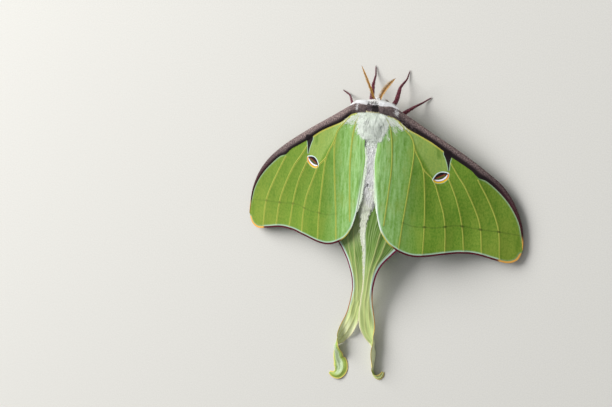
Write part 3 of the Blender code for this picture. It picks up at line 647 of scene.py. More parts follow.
hindwing = {
    "top": 9.7,
    "lie": 0.3,
    "fall": (-30.0, -73.0),
    "leftUnder": 1.2,
    "swing": [(-62.4, -5.6), (-58.4, -5), (-54.4, -4.4), (-51, -3.7), (-48, -3), (-45, -2.5),
              (-41, -2.05), (-36, -1.25), (-20, 0)],
    "outer": [(4.75, 1), (7.5, -1.8), (12, -6.8), (16.5, -12.6), (19.4, -19), (20.1, -24.5),
              (18.4, -28.8), (15.2, -31.6), (12.4, -33.3), (10.2, -35.2), (7.1, -38.8), (5.7, -41.2),
              (4.6, -44.2), (4, -48)],
    "inner": {1: [(4.75, -1.8), (3, -4.4), (2.8, -10), (2, -14), (-0.8, -16.6), (-2, -19.6),
                  (-2.2, -23.5), (-2, -27.5), (-1.35, -31.8), (-0.6, -35.1), (0.15, -41), (0.25, -46.5),
                  (0, -50.4)],
              -1: [(4.75, -1.8), (3, -4.4), (2.8, -10), (2.8, -19.5), (2.4, -23.4), (1.3, -27),
                   (0.4, -31), (-0.3, -35.1), (-1, -41), (-1.1, -46.5), (-0.9, -50.4)]},
    "neck": {1: (0.0, 4.3), -1: (-0.8, 4.3)},
    "neckAt": -52.0,
    # along each tail: x, y, half its width, how far it has turned and how far it curls, in degrees
    "tail": {1: [(-2.2, -56, 2.75, 0, 0), (-2.3, -59.6, 3, 6, 10), (-1.9, -62.2, 2.8, 22, 25),
                 (-0.95, -64.9, 2.5, 48, 45), (-0.3, -67.2, 2.2, 72, 60), (-0.35, -69.2, 2.1, 68, 55),
                 (-0.45, -71.2, 1.9, 56, 40), (-0.45, -73, 1.5, 62, 35), (0.1, -74.5, 1.1, 52, 25),
                 (1.4, -75, 0.95, 40, 15), (2.5, -74.3, 0.8, 35, 10), (3, -73.1, 0.45, 30, 0)],
             -1: [(-7.2, -55.6, 2.4, 0, 0), (-8.3, -58.6, 2.4, -6, 10), (-9.7, -61.6, 2.35, -22, 30),
                  (-11.2, -64, 2.3, -50, 60), (-12.3, -65.8, 2.3, -84, 88), (-12.6, -67.3, 2.3, -125, 70),
                  (-12.8, -69, 2.35, -158, 40), (-12.9, -70.8, 2.1, -172, 20),
                  (-12.3, -72.4, 2.45, -180, 10), (-12.1, -74.2, 2.4, -180, 8),
                  (-12.9, -75.8, 1.9, -176, 8), (-14.4, -76.4, 1.05, -168, 8), (-15.9, -76, 0.45, -160, 0)]},
    "veins": [
        [(5.4, -0.8), (10.8, -9.5), (15.6, -19), (17.2, -29.6)],
        [(5.2, -2.2), (9.6, -13), (12.2, -24), (11.4, -34)],
        [(4.6, -3.4), (7.4, -15), (8.4, -25), (6.6, -34), (4, -42), (2.9, -52.2)],
        [(4.4, -4.6), (5.2, -17), (5.4, -27), (3.9, -36), (2.3, -44), (1.6, -52.2)],
    ],
    "tailVeins": (0.38, -0.25),
    "veinRadius": (0.15, 0.1),
    "thickness": 0.2,
    "rows": 150,
    "tailRows": 120,
    "columns": 56,
}


def tailHeight(y, side):
    # The height eases from the back down to the floor; the left wing runs a little under the right one
    lie, top, (start, end) = hindwing["lie"], hindwing["top"], hindwing["fall"]
    height = lie + (top - lie) * (1 - ease(y, start, end))
    under = hindwing["leftUnder"] * (1 - ease(-y, 56, 62)) * ease(-y, 8, 20)
    return height - (under if side < 0 else 0)


def lean(y):
    # How far the wing and its tail lean to one side at y
    places = np.array(hindwing["swing"])
    return np.interp(y, places[:, 0], places[:, 1])


def hindwingSheet(chart, side):
    # The wing's part: the drooping sheet again, lowered towards the tail and leaning to one side
    x, down, _ = alongSheet(chart[:, 0])
    y = chart[:, 1]
    vein = np.min([distanceTo(chart, path)[0] for path in hindwing["veinPaths"]], axis=0)
    sag = 0.18 * (1 - np.exp(-(vein / 1.3) ** 2)) * ease(-y, 6, 16) * (1 - ease(-y, 40, 50))
    height = tailHeight(y, side) - down * (1 - ease(-y, 30, 60)) - sag
    return np.stack([side * x + lean(y), y, height], 1), vein


def tailSheet(share, side, count):
    # Rows across the ribbon. With w half its width and c its curl, a row is the arc
    # (w sin(c s) / c, 0.8 w (1 - cos(c s)) / c) for s from -1 to 1, turned about the ribbon's length.
    inner, outer = hindwing["neck"][side]
    neckAt = hindwing["neckAt"]
    first = (side * (inner + outer) / 2 + lean(neckAt), neckAt, (outer - inner) / 2, 0, 0)
    rows = curveThrough([first] + hindwing["tail"][side], count)
    x, y, width, turn, curl = rows.T
    curl, turn = np.radians(np.maximum(curl, 2.0))[:, None], np.radians(turn)[:, None]
    along = unit(np.gradient(rows[:, :2], axis=0))
    sideways = width[:, None] * np.sin(curl * share) / curl
    raised = 0.8 * width[:, None] * (1 - np.cos(curl * share)) / curl
    flat = sideways * np.cos(turn) - raised * np.sin(turn)
    up = sideways * np.sin(turn) + raised * np.cos(turn)
    flat -= (flat.max(1, keepdims=True) + flat.min(1, keepdims=True)) / 2
    square = ease(-y, -neckAt, 4 - neckAt)
    height = np.maximum(tailHeight(y, side), 0.16 - up.min(1))
    ripple = 0.14 * np.sin(share * 5 + y[:, None] * 0.5) * square[:, None]
    points = np.stack([x[:, None] + (1 - square - square * along[:, 1])[:, None] * flat,
                       y[:, None] + (square * along[:, 0])[:, None] * flat, height[:, None] + up], -1)
    return points, rows, ripple


def gridNormals(grid):
    # The cross product of the grid's two slopes
    return unit(np.cross(np.gradient(grid, axis=0), np.gradient(grid, axis=1)))


def edgesOf(side, count):
    # The outer and the inner edge, each carried on to the neck that the tail starts from
    inner, outer = hindwing["neck"][side]
    return (curveThrough(hindwing["outer"] + [(outer, hindwing["neckAt"])], count),
            curveThrough(hindwing["inner"][side] + [(inner, hindwing["neckAt"])], count))


hindwing["outerPath"], hindwing["innerPath"] = ({s: edgesOf(s, 110)[k] for s in (1, -1)} for k in (0, 1))
hindwing["veinPaths"] = [curveThrough(vein, coarseRows) for vein in hindwing["veins"]]


def hindwingValues(chart, side, vein):
    # chart is out and back; edges are the distances from the outer and inner edges and from a vein
    outer, _, _ = distanceTo(chart, hindwing["outerPath"][side])
    inner, _, _ = distanceTo(chart, hindwing["innerPath"][side])
    return {"chart": np.column_stack([chart, np.zeros(len(chart))]),
            "edges": np.stack([outer, inner, vein], 1)}


def buildHindwing(side):
    # The sheet's rows and then the tail's, made even over their joint by averaging each row with its
    # neighbours, and given half the wing's thickness to either side
    look = hindwing
    v = np.linspace(0, 1, look["columns"])
    outer, inner = (edge[:, None] for edge in edgesOf(side, look["rows"]))
    chart = (outer * (1 - v[None, :, None]) + inner * v[None, :, None]).reshape(-1, 2)
    sheet, vein = hindwingSheet(chart, side)
    values = hindwingValues(chart, side, vein)
    share = side * (1 - 2 * v)[None, :]
    ribbon, rows, ripple = tailSheet(share, side, look["tailRows"])
    ribbon, rows, ripple = ribbon[1:], rows[1:], ripple[1:]
    width = np.broadcast_to(rows[:, 2:3], ribbon.shape[:2])
    across = np.broadcast_to(1 - 2 * v, width.shape)
    veinAway = np.min([np.abs(across - at) * width for at in look["tailVeins"]], axis=0)
    edges = np.stack([(1 - across) * width, (1 + across) * width, veinAway], -1)
    back = np.broadcast_to(rows[:, 1:2], width.shape)
    tailChart = np.stack([across * width + 2.1, back, np.zeros(width.shape)], -1)
    grid = np.vstack([sheet.reshape(look["rows"], look["columns"], 3), ribbon])
    soft = grid.copy()
    for _ in range(6):
        soft[1:-1] = (soft[:-2] + 2 * soft[1:-1] + soft[2:]) / 4
    seam = np.exp(-((np.arange(len(grid)) - look["rows"]) / 5.0) ** 2)[:, None, None]
    grid = grid * (1 - seam) + soft * seam
    values = {"chart": np.concatenate([values["chart"], tailChart.reshape(-1, 3)]),
              "edges": np.concatenate([values["edges"], edges.reshape(-1, 3)])}
    normal = gridNormals(grid)
    rim = np.minimum(values["edges"][:, 0], values["edges"][:, 1]).reshape(grid.shape[:2])
    ridge = np.exp(-(values["edges"][:, 2].reshape(grid.shape[:2]) / 0.28) ** 2)
    half = look["thickness"] / 2 * (0.35 + 0.65 * ease(rim, 0, 0.9)) + 0.1 * ridge
    wave = np.concatenate([np.zeros((look["rows"], look["columns"])), ripple])
    grid = grid + normal * wave[..., None] * ease(rim, 0, 0.8)[..., None]
    offset = normal * half[..., None] * np.sign(normal[:20, ..., 2].mean())
    points, faces = shell(grid + offset, grid - offset)
    points[:, 2] = np.maximum(points[:, 2], floorGap)
    values = eachTwice(values)
    values["underside"] = np.repeat([0.0, 1.0], len(points) // 2)
    return points, faces, values


def buildHindwingVeins(side):
    # A thin tapering tube along each vein, a little over and a little under the sheet
    parts = []
    for vein in hindwing["veins"]:
        chart = curveThrough(vein, veinRows)[:-1]
        centre, away = hindwingSheet(chart, side)
        radius = np.linspace(*hindwing["veinRadius"], len(chart))
        for way in (1, -1):
            parts.append(veinTube(centre + (0, 0, way * 0.11), radius, hindwingValues(chart, side, away)))
    return gather(parts)


# the pale colour of the tails' twists is painted light, laid where they turn away from the lamp
hindwingColours = {
    "green": (124, 158, 74), "tail": (190, 206, 132), "deep": (66, 96, 34), "light": (212, 222, 170),
    "under": (166, 188, 88), "underPale": (204, 220, 190), "vein": (200, 204, 134), "strip": (236, 240, 228),
    "maroon": (112, 20, 56), "brown": (176, 108, 44), "yellow": (222, 200, 110), "cream": (232, 226, 184),
    "pale": (198, 222, 210), "twistPaintedLight": (244, 246, 200),
}


def buildHindwingFinish():
    # Layers again: threads that follow the wing's length, a pale strip by the body, and the twisted tails,
    # painted pale where they turn away from the light as painted light
    shade = shadesOf(hindwingColours)
    material, tree = newFinish("hindwingScales", 0.6, 0.04, 0.12)
    chart = attribute(tree, "chart", True)
    y = chart.parts()[1]
    outer, inner, vein = attribute(tree, "edges", True).parts()
    x = objectPlace(tree).parts()[0]
    grain = useGroup(tree, scaleGrain, Chart=chart, Fineness=1.6, Streak=0.85)
    share = inner / (inner + outer).atLeast(0.1)
    threads = y.make("ShaderNodeCombineXYZ", {0: share * 34, 1: y * 0.09}).noise(1.0, 3, 0.55)
    rough = grain["Shade"].ramp(0.64, 0.36)
    turned, leftTail = y.ramp(-56, -62), x.ramp(-0.0046, -0.0052)
    width = y.make("ShaderNodeMapRange", {"Value": y, "From Min": -22, "From Max": -46,
                                          "To Min": 2.7, "To Max": 0.5})
    ground = layers(shade["green"], shade, [
        ("tail", y.ramp(-33, -53)),
        ("deep", rough * (y.ramp(-34, -50) * -0.22 + 0.34)),
        ("light", threads.ramp(0.52, 0.64) * (y.ramp(-36, -50) * -0.25 + 0.4)),
        ("deep", threads.ramp(0.47, 0.35) * (y.ramp(-34, -48) * -0.6 + 0.8)),
        # painted light: the left tail's twist, turned away from the light, is painted pale
        ("twistPaintedLight", turned * leftTail * 0.7),
        # painted light on the upper left hindwing, which lies in the forewing's shadow, and painted shade on
        # the upper right hindwing under the forewing's edge
        ("light", y.ramp(-38, -28) * x.ramp(0, -0.004) * 0.45),
        ("deep", y.ramp(-42, -28) * inner.ramp(1, 2.5) * x.ramp(-0.004, 0) * 0.45),
        ("vein", vein.ramp(0.34, 0.08) * 0.6),
        ("strip", inner.ramp(width, width * 0.5) * y.ramp(-56, -46) * 0.8),
    ])
    below = layers(shade["under"], shade, [
        ("underPale", outer.ramp(0.9, 2) * inner.ramp(0.7, 1.6) * 0.75),
        ("deep", rough * 0.3),
        # painted light: the underside of the right tail's end, which lies in shade, is painted pale
        ("twistPaintedLight", (1 - leftTail) * y.ramp(-74, -71.5) * 0.8),
    ])
    ground = paint(ground, below, attribute(tree, "underside") * turned)
    border = layers(shade["maroon"], shade, [("brown", y.ramp(-47, -51)), ("yellow", y.ramp(-56, -64))])
    ground = useGroup(tree, rimLines, Base=ground, Edge=outer, EdgeColour=border,
                      EdgeWidth=y.ramp(-44, -54) * -0.22 + 0.5, PaleColour=shade["pale"], PaleWidth=0.45,
                      PaleShare=y.ramp(-48, -62) * -0.95 + 0.95)["Colour"]
    border = paint(shade["cream"], shade["yellow"], y.ramp(-65, -70))
    ground = useGroup(tree, rimLines, Base=ground, Edge=inner, EdgeColour=border, EdgeWidth=0.3,
                      PaleColour=shade["cream"], PaleWidth=0.15, PaleShare=0.3)["Colour"]
    ground = withEyeSpot(ground, chart, (12.2, -19.5, 0.0), -0.5)
    return dress(material, ground, grain["Height"] + threads, 0.45, 0.00012)


hindwingFinish = buildHindwingFinish()
for side, word in bothSides:
    low = word.lower()
    makePiece("hindwing" + word, buildHindwing(side), hindwingFinish, "wing",
              ["hindwing_" + low, "tail_" + low])
    makePiece("hindwingVeins" + word, buildHindwingVeins(side), hindwingFinish, "wing")
print("hindwings built")


# Body: one skin under all the fur, with a chart of its own that the coats grow from

bodyLook = {
    # back along the body: y, half width, top and bottom of the skin
    "profile": [(10.05, 0.3, 7.2, 6.6), (9.85, 0.8, 7.8, 6.1), (9.4, 1.35, 8.3, 5.6),
                (8.95, 1.9, 8.8, 5.2), (8.6, 3, 9.7, 4.9), (8.3, 4, 10.6, 4.8), (7.7, 4.6, 11.2, 4.8),
                (6.4, 4.7, 11.4, 4.8), (5.4, 4.4, 11.3, 4.5), (3.5, 4.1, 11.6, 4.3),
                (1.5, 3.95, 11.6, 4.3), (0, 3.75, 11.4, 4.5), (-1.2, 3.2, 11, 4.9),
                (-2.2, 2.6, 10.6, 5.2), (-3.2, 2.4, 10.45, 5.4), (-5, 2.45, 10.45, 5.3),
                (-9, 2.5, 10.5, 5.2), (-13, 2.4, 10.45, 5.4), (-17, 2.1, 10.25, 5.7),
                (-21, 1.6, 9.8, 6.1), (-23.5, 0.95, 9.1, 6.8), (-24.4, 0.3, 8.5, 7.4)],
    "power": 2.6,
    "rows": 170,
    "sides": 80,
}


def bodyRings():
    # A superellipse round each place: x = w sin^(2/p), z = middle + h cos^(2/p), signs kept
    y, width, top, bottom = curveThrough(bodyLook["profile"], bodyLook["rows"]).T[..., None]
    angle = np.linspace(0, 2 * np.pi, bodyLook["sides"], endpoint=False)[None]
    power = 2 / bodyLook["power"]
    x = width * np.sign(np.sin(angle)) * np.abs(np.sin(angle)) ** power
    z = (top + bottom) / 2 + (top - bottom) / 2 * np.sign(np.cos(angle)) * np.abs(np.cos(angle)) ** power
    return np.stack([x, np.broadcast_to(y, x.shape), z], -1)


def ringNormals(rings):
    # The cross product of the slopes along and round the skin, turned away from each ring's middle
    around = np.roll(rings, -1, 1) - np.roll(rings, 1, 1)
    outward = unit(np.cross(np.gradient(rings, axis=0), around))
    centre = rings.mean(1, keepdims=True)
    return outward * np.sign(((rings - centre) * outward).sum(-1).mean())


def spotsOn(rings, normals, count, wanted):
    # Random places over the cells of a ringed skin, as likely as a cell's area times what wanted says
    ahead, beside = rings[1:], np.roll(rings, -1, 1)
    area = np.linalg.norm(np.cross(ahead - rings[:-1], beside[:-1] - rings[:-1]), axis=-1)
    chance = area * wanted(rings[:-1], normals[:-1])
    cell = dice.choice(chance.size, count, p=(chance / chance.sum()).ravel())
    row, column = np.divmod(cell, rings.shape[1])
    s, t = dice.random((2, count, 1))
    after = (column + 1) % rings.shape[1]

    def mixed(grid):
        return ((1 - s) * ((1 - t) * grid[row, column] + t * grid[row, after])
                + s * ((1 - t) * grid[row + 1, column] + t * grid[row + 1, after]))

    chart = np.column_stack([(row + s[:, 0]) / rings.shape[0], (column + t[:, 0]) / rings.shape[1]])
    return mixed(rings), unit(mixed(normals)), chart * 0.98 + 0.01


def growTufts(roots, normals, flow, chart, length, radius, lift, spread, bend, clump, clumpSize,
              sink=0.1, flat=0.22):
    # Each tuft is a thin three-sided blade of three rings and a point. Its centre line at t is
    # root + L (flow cos(lift) t + normal sin(lift) (t - bend t^2)), drawn at its end to its clump's middle,
    # which is the nearest of some roots picked at random, about one to each cube of clumpSize.
    count = len(roots)
    flow = unit(flow - normals * (flow * normals).sum(-1, keepdims=True))
    beside = np.cross(normals, flow)
    turn = dice.normal(0, spread, (count, 1))
    flow = flow * np.cos(turn) + beside * np.sin(turn)
    lift = np.broadcast_to(lift, count)[:, None] * dice.uniform(0.7, 1.3, (count, 1))
    length = np.broadcast_to(length, count)[:, None] * dice.uniform(0.75, 1.2, (count, 1))
    radius = np.broadcast_to(radius, count)[:, None] * dice.uniform(0.8, 1.2, (count, 1))
    wanted = len(np.unique(np.floor(roots / clumpSize).astype(int), axis=0))
    middles = roots[dice.choice(count, wanted, replace=False)]
    member = ((middles**2).sum(1) - 2 * roots @ middles.T).argmin(1)
    pull = (middles[member] - roots) * clump
    steps = np.array([0.0, 0.34, 0.7, 1.0])[None, :, None]
    out = flow[:, None] * np.cos(lift)[:, None] * steps
    rise = normals[:, None] * np.sin(lift)[:, None] * (steps - bend * steps**2)
    line = roots[:, None] - normals[:, None] * sink + length[:, None] * (out + rise)
    line = line + pull[:, None] * steps**1.5
    forward = unit(line[:, 1:] - line[:, :-1])
    forward = np.concatenate([forward, forward[:, -1:]], 1)[:, :3]
    across = unit(np.cross(forward, normals[:, None]))
    above = np.cross(across, forward)
    angle = (np.arange(3) * 2 * np.pi / 3 + np.pi / 2)[None, None, :, None]
    wide = radius[:, None] * np.array([0.8, 1.0, 0.62])[None, :, None]
    ring = across[:, :, None] * np.cos(angle) + above[:, :, None] * np.sin(angle) * flat
    rings = line[:, :3, None] + wide[:, :, None] * ring
    points = np.concatenate([rings.reshape(count, 9, 3), line[:, 3:]], 1).reshape(-1, 3)
    first = np.arange(count)[:, None, None] * 10
    quads = np.array([(r + i, r + (i + 1) % 3, r + 3 + (i + 1) % 3, r + 3 + i)
                      for r in (0, 3) for i in range(3)])
    ends = np.array([(6, 7, 9), (7, 8, 9), (8, 6, 9), (2, 1, 0)])
    patch = np.array([(t, i / 3) for t in (0, 0.34, 0.7) for i in range(3)] + [(1, 1 / 3)]) * patchSize
    values = {"OFBake": (chart[:, None] + patch[None]).reshape(-1, 2),
              "rootPlace": np.repeat(roots, 10, axis=0),
              "hairAlong": np.tile(np.append(np.repeat([0, 0.34, 0.7], 3), 1.0), count),
              "hairTint": np.repeat(0.45 * dice.random(count) + 0.55 * dice.random(wanted)[member], 10)}
    return points, [(quads[None] + first).reshape(-1, 4), (ends[None] + first).reshape(-1, 3)], values


furColours = {
    "wool": (246, 252, 242), "woolRoot": (200, 210, 192), "cream": (240, 222, 140), "purple": (92, 72, 78),
    "purpleRoot": (40, 28, 32), "dark": (30, 18, 22), "frost": (206, 196, 200), "white": (254, 254, 252),
    "spot": (28, 22, 22), "under": (222, 214, 204),
}


def buildBodyMarks():
    # Colours of the fur by the place of its root: purple-brown band, white crest, cream line, wool, two dots
    shade = shadesOf(furColours)
    tree, place = newGroup("bodyMarks", Place=(0.0, 0.0, 0.0))
    x, y, z = place.parts()
    arch = x * x * 0.018 + y
    wavy = (place.noise(1.7, 3, 0.65) - 0.5) * 0.5 + arch
    band = wavy.ramp(6.5, 6.7) * arch.ramp(8.18, 8.16) * z.ramp(6.2, 7.6)
    crest = arch.ramp(8.16, 8.18)
    # painted shade: a dark line where the wool parts on top of the thorax
    partingShade = abs(x + 0.7).ramp(0.4, 0.1) * y.ramp(3.2, 3.7) * y.ramp(5.4, 5) * z.ramp(9, 10)
    # collar: random frost speckle of its own, darker just right of the middle, and a pale streak near the
    # left end only, which is painted light
    purple = layers(shade["purple"], shade, [
        ("frost", place.noise(2.2).ramp(0.5, 0.68) * 0.7),
        ("dark", abs(x - 1).ramp(1.5, 0.9) * 0.9),
        ("frost", abs(x + 4).ramp(0.5, 0.2) * 0.8),
    ])
    tip = layers(shade["wool"], shade, [
        ("under", z.ramp(7.8, 6.4)),
        ("cream", wavy.ramp(6.22, 6.34) * z.ramp(8, 10) * 0.8),
        ("white", y.ramp(-2, -4.5)),
        ("white", crest * z.ramp(6.4, 7.6)),
    ])
    tip = paint(paint(tip, purple, band), shade["dark"], partingShade * 0.6)
    root = paint(shade["woolRoot"], shade["white"], crest.atLeast(y.ramp(-2.5, -4)))
    root = paint(root, shade["purpleRoot"], band)
    for spotX, spotY, size in ((-0.35, -11.1, 0.42), (-0.55, -14.7, 0.5)):
        centre = (spotX, spotY, 10.1)
        away = place.make("ShaderNodeVectorMath", {0: place, 1: centre}, "Value", operation="DISTANCE")
        dot = away.ramp(size + 0.15, size - 0.1)
        tip, root = paint(tip, shade["spot"], dot), paint(root, shade["spot"], dot)
    return closeGroup(tree, Tip=tip, Root=root)


bodyMarks = buildBodyMarks()


def buildSkinFinish():
    material, tree = newFinish("bodySkin", 0.9, 0.1)
    place = attribute(tree, "rootPlace", True)
    marks = useGroup(tree, bodyMarks, Place=place)
    grain = place.stretched(4, 1.2).noise(2.0, 3, 0.6)
    mixed = paint(marks["Root"], marks["Tip"], grain.ramp(0.35, 0.65) * 0.5 + 0.25)
    return dress(material, mixed, grain, 0.6, 0.0003)


def buildHairFinish(name, spread=0.3, sheen=0.3, root=None, tip=None):
    # Hair in a root and a tip colour of its own, or else in the colours of the body's marks
    material, tree = newFinish(name, 0.7 if root else 0.75, sheen, 0.2)
    if root:
        ends = {"Root": colour(*root), "Tip": colour(*tip)}
    else:
        ends = useGroup(tree, bodyMarks, Place=attribute(tree, "rootPlace", True))
    along, tint = attribute(tree, "hairAlong"), attribute(tree, "hairTint")
    return dress(material, useGroup(tree, hairShade, Along=along, Tint=tint, Spread=spread, **ends)["Colour"])


rings = bodyRings()
ringNormal = ringNormals(rings)
points, faces = skinRound(rings)
makePiece("bodySkin", (points, faces, {"rootPlace": points}), buildSkinFinish(), "fur",
          ["head", "collar", "thorax", "abdomen"])


def sideways(p):
    # -1 on the left and 1 on the right, eased over the middle of the body
    return np.sign(p[:, 0]) * ease(np.abs(p[:, 0]), 0.3, 2.5)


eyeLook = {"right": (1.8, 8.4, 6.65), "left": (-1.8, 8.4, 6.65), "radius": 1.06, "rows": 40, "sides": 56}


def fromEye(p):
    # The way from the eye on this side to a place on the head, and how far it is
    away = p - np.where(p[..., :1] > 0, eyeLook["right"], eyeLook["left"])
    return away, np.linalg.norm(away, axis=-1)


def backFlow(p, aside, ahead, up, spreading=0.0, shift=0.0):
    # Hair lies along (aside s + spreading x + shift, ahead, up), where s is the side, eased over the middle
    level = np.zeros(len(p))
    return np.stack([aside * sideways(p) + spreading * p[:, 0] + shift, level + ahead, level + up], 1)


def faceFlow(p):
    # Hair of the face runs forwards and down, and parts round the eyes by 2.5 exp(-(d / 1.9)^2)
    away, far = fromEye(p)
    return backFlow(p, 0.5, 0.2, -1) + (2.5 * np.exp(-(far / 1.9) ** 2) / far)[:, None] * away


def chanceOf(ramps):
    # A place's chance of a tuft is the product of ramps, each of one of its values from a start to an end.
    # The arch is the collar's, carried back towards the sides: y + 0.018 x^2.
    def chance(p, n):
        x, y, z = np.abs(p[..., 0]), p[..., 1], p[..., 2]
        values = {"x": x, "y": y, "z": z, "arch": y + 0.018 * p[..., 0] ** 2, "flank": np.abs(n[..., 0]),
                  "eye": fromEye(p)[1], "cheek": np.where(y > 9.2, 0, z)}
        return math.prod(ease(values[name], start, end) + sum(more) for name, start, end, *more in ramps)
    return chance


crestHairFinish = buildHairFinish("crestHair", 0.24, 0.7, (232, 228, 230), (254, 254, 254))
# tufts: count, length, radius, lift, spread, bend, clump and clump size, as growTufts takes them
# where: the ramps of chanceOf; flow: what backFlow takes; finish: the spread and sheen of its colours
furPieces = {
    "thoraxFurTop": {"tufts": (7000, 1.9, 0.08, 0.24, 0.3, 0.5, 0.5, 0.9), "flow": (0.5, -1, 0),
                     "where": [("y", -2.4, -1.4), ("y", 6.3, 6.1), ("z", 9.6, 10.4)]},
    "thoraxMane": {"tufts": (2600, 2.9, 0.1, 0.34, 0.22, 0.45, 0.85, 1.2), "flow": (0.5, -1, 0),
                   "where": [("y", -1.0, 0.4), ("y", 6.2, 5.8), ("z", 10.4, 11.0)]},
    "thoraxRearFur": {"tufts": (1500, 2.2, 0.08, 0.5, 0.4, 0.5, 0.6, 1.0), "flow": (0.3, -1, 0.1),
                      "where": [("y", -3.0, -2.2), ("y", -0.4, -1.4), ("z", 9.0, 9.8)]},
    "creamFur": {"tufts": (500, 0.65, 0.07, 0.4, 0.3, 0.5, 0.3, 0.8), "flow": (0.3, -1, 0),
                 "where": [("arch", 6.34, 6.4), ("arch", 6.65, 6.55), ("z", 9.6, 10.4)]},
    "thoraxFurLow": {"tufts": (5000, 1.5, 0.07, 0.4, 0.45, 0.5, 0.5, 1.0), "flow": (0, -1, 0, 0.2),
                     "where": [("y", -3.6, -2.2), ("y", 8.0, 7.4), ("z", 8.8, 7.8)]},
    "collarFur": {"tufts": (6000, 0.85, 0.06, 0.32, 0.35, 0.6, 0.3, 0.8), "flow": (0.25, -1, 0),
                  "finish": (0.6, 0.1), "where": [("arch", 6.5, 6.7), ("arch", 8.26, 8.2), ("z", 6.6, 7.4)]},
    "crestFur": {"tufts": (5600, 1.4, 0.1, 0.5, 0.35, 0.4, 0.2, 0.8), "flow": "face",
                 "where": [("arch", 8.2, 8.26), ("y", 9.5, 9.1), ("z", 6.7, 7.5), ("eye", 1.2, 1.5)]},
    "crestEdgeFur": {"tufts": (6500, 1.3, 0.085, 0.8, 0.45, 0.3, 0.15, 0.8), "flow": "face",
                     "where": [("arch", 8.18, 8.2), ("arch", 8.9, 8.6), ("z", 8.2, 9.2)]},
    "crestTopFur": {"tufts": (1500, 1.4, 0.08, 0.35, 0.4, 0.9, 0.25, 0.8), "flow": (0.3, 1, -0.1),
                    "plain": crestHairFinish,
                    "where": [("arch", 8.12, 8.16), ("arch", 8.4, 8.3), ("z", 9.2, 9.8), ("x", 3.6, 2.6)]},
    "headFur": {"tufts": (4500, 0.5, 0.05, 0.35, 0.4, 0.5, 0.3, 0.6), "flow": "face",
                "where": [("y", 7.6, 8.4), ("cheek", 7.6, 6.9), ("eye", 1.1, 1.3)]},
    "abdomenFur": {"tufts": (10500, 1.8, 0.085, 0.45, 0.25, 0.25, 0.3, 0.8), "flow": (0, -1, 0, 0.05),
                   "where": [("y", -1.8, -3.0), ("y", -17, -22, 1)]},
    "flankFur": {"tufts": (3600, 2.2, 0.07, 0.85, 0.35, 0.4, 0.5, 1.0), "flow": (0.6, -1, 0.4),
                 "where": [("y", -2.0, -4.5), ("flank", 0.35, 0.7), ("z", 8.2, 9.0)]},
    "seamFur": {"tufts": (2600, 2.3, 0.09, 0.6, 0.3, 0.45, 0.3, 0.8), "flow": (0.6, -1, 0),
                "where": [("y", 0, -1), ("y", -20, -19), ("z", 9.7, 10), ("x", 0.7, 1.4)]},
    "tailEndFur": {"tufts": (1200, 2.4, 0.07, 0.3, 0.2, 0.5, 0.5, 0.8), "flow": (0, -1, 0.12, 0.1, -0.4),
                   "where": [("y", -17.5, -20.5), ("z", 7.4, 8.4)]},
}
for name, look in furPieces.items():
    count, *shape = look["tufts"]
    roots, normals, chart = spotsOn(rings, ringNormal, count, chanceOf(look["where"]))
    flow = faceFlow(roots) if look["flow"] == "face" else backFlow(roots, *look["flow"])
    finish = look.get("plain") or buildHairFinish(name, *look.get("finish", (0.26, 0.8)))
    makePiece(name, growTufts(roots, normals, flow, chart, *shape), finish,
              "collar_fur" if name == "collarFur" else "fur", smooth=False)
print("body fur grown")


# Hair on the wings: at the forewings' roots and along the hindwings' inner edges

def placesOn(path, start, end, count, power=1.0):
    # Random places from start to end of a path, more of them near its start as the power grows
    share = dice.random(count) ** power
    return share, readAt(path, (start + (end - start) * share) * (len(path) - 1))


def growOnForewing(side, chart, flow, length, shape, risen=0.0):
    # Tufts on the wing's upper face; risen sets the roots up by a share of the costal band's swell
    centre, normal, half, swell, _ = forewingSurface(chart, side)
    flow = np.column_stack([np.broadcast_to(value, len(chart)) for value in (side * flow[0], flow[1], 0.0)])
    roots = centre + normal * (half + swell * risen)[:, None]
    return growTufts(roots, normal, flow, chart * (side * 0.01, 0.01) + 0.5, length, *shape)


def rootWool(side, look):
    # The back's wool carried over the wing's inner end, with a rounded end: reach sqrt(1 - ((3 - y) / 4.6)^2)
    count = look["count"]
    u, y = dice.random(count) ** 1.1, dice.uniform(-1.4, 6.0, count)
    reach = 0.2 + 2.4 * np.sqrt(np.clip(1 - (np.minimum(y - 3.0, 0) / 4.6) ** 2, 0, 1))
    length = (2.0 - 0.5 * u) * dice.uniform(0.6, 1.15, count)
    chart = np.column_stack([2.0 + reach * u, y])
    return growOnForewing(side, chart, (0.25 + 0.45 * u, -1.0), length, look["tufts"])


def wingRootHair(side, look):
    # Roots fill a triangle between the costal band and the back: s along the band, deeper near the body
    s, chart = placesOn(forewing["bandPath"], 0.03, 0.165, look["count"], 1.2)
    depth = np.minimum((0.1 + 3.0 * (1 - s) ** 1.5) * dice.exponential(0.6, look["count"]), 6.0)
    chart = chart + depth[:, None] * (0.06, -1.0)
    length = (2.6 - 1.3 * s) * dice.uniform(0.5, 1.1, look["count"])
    return growOnForewing(side, chart, (0.7 - 0.5 * s, -1.0), length, look["tufts"])


def marginHair(side, look):
    # White fringe of the forewing's inner margin, longer on the left where it bridges to the abdomen
    s, chart = placesOn(forewing["trailingPath"], 0.04, 0.3, look["count"])
    chart = chart + (0.25, 0.0) * dice.random((look["count"], 1))
    length = np.interp(s, [0.0, 0.2, 0.75, 1.0], [0.8, 1.0, 1.0, 0.3]) * look["longer"][side]
    return growOnForewing(side, chart, (-0.8, -1.0), length, look["tufts"])


def bandHair(side, look):
    # A pale fringe out of the costal band's inner side near its root
    _, chart = placesOn(forewing["bandPath"], 0.0, 0.22, look["count"], 1.3)
    chart = chart - (0.0, 1.0) * dice.uniform(-0.1, 0.2, (look["count"], 1))
    return growOnForewing(side, chart, (0.9, -0.75), 0.7, look["tufts"])


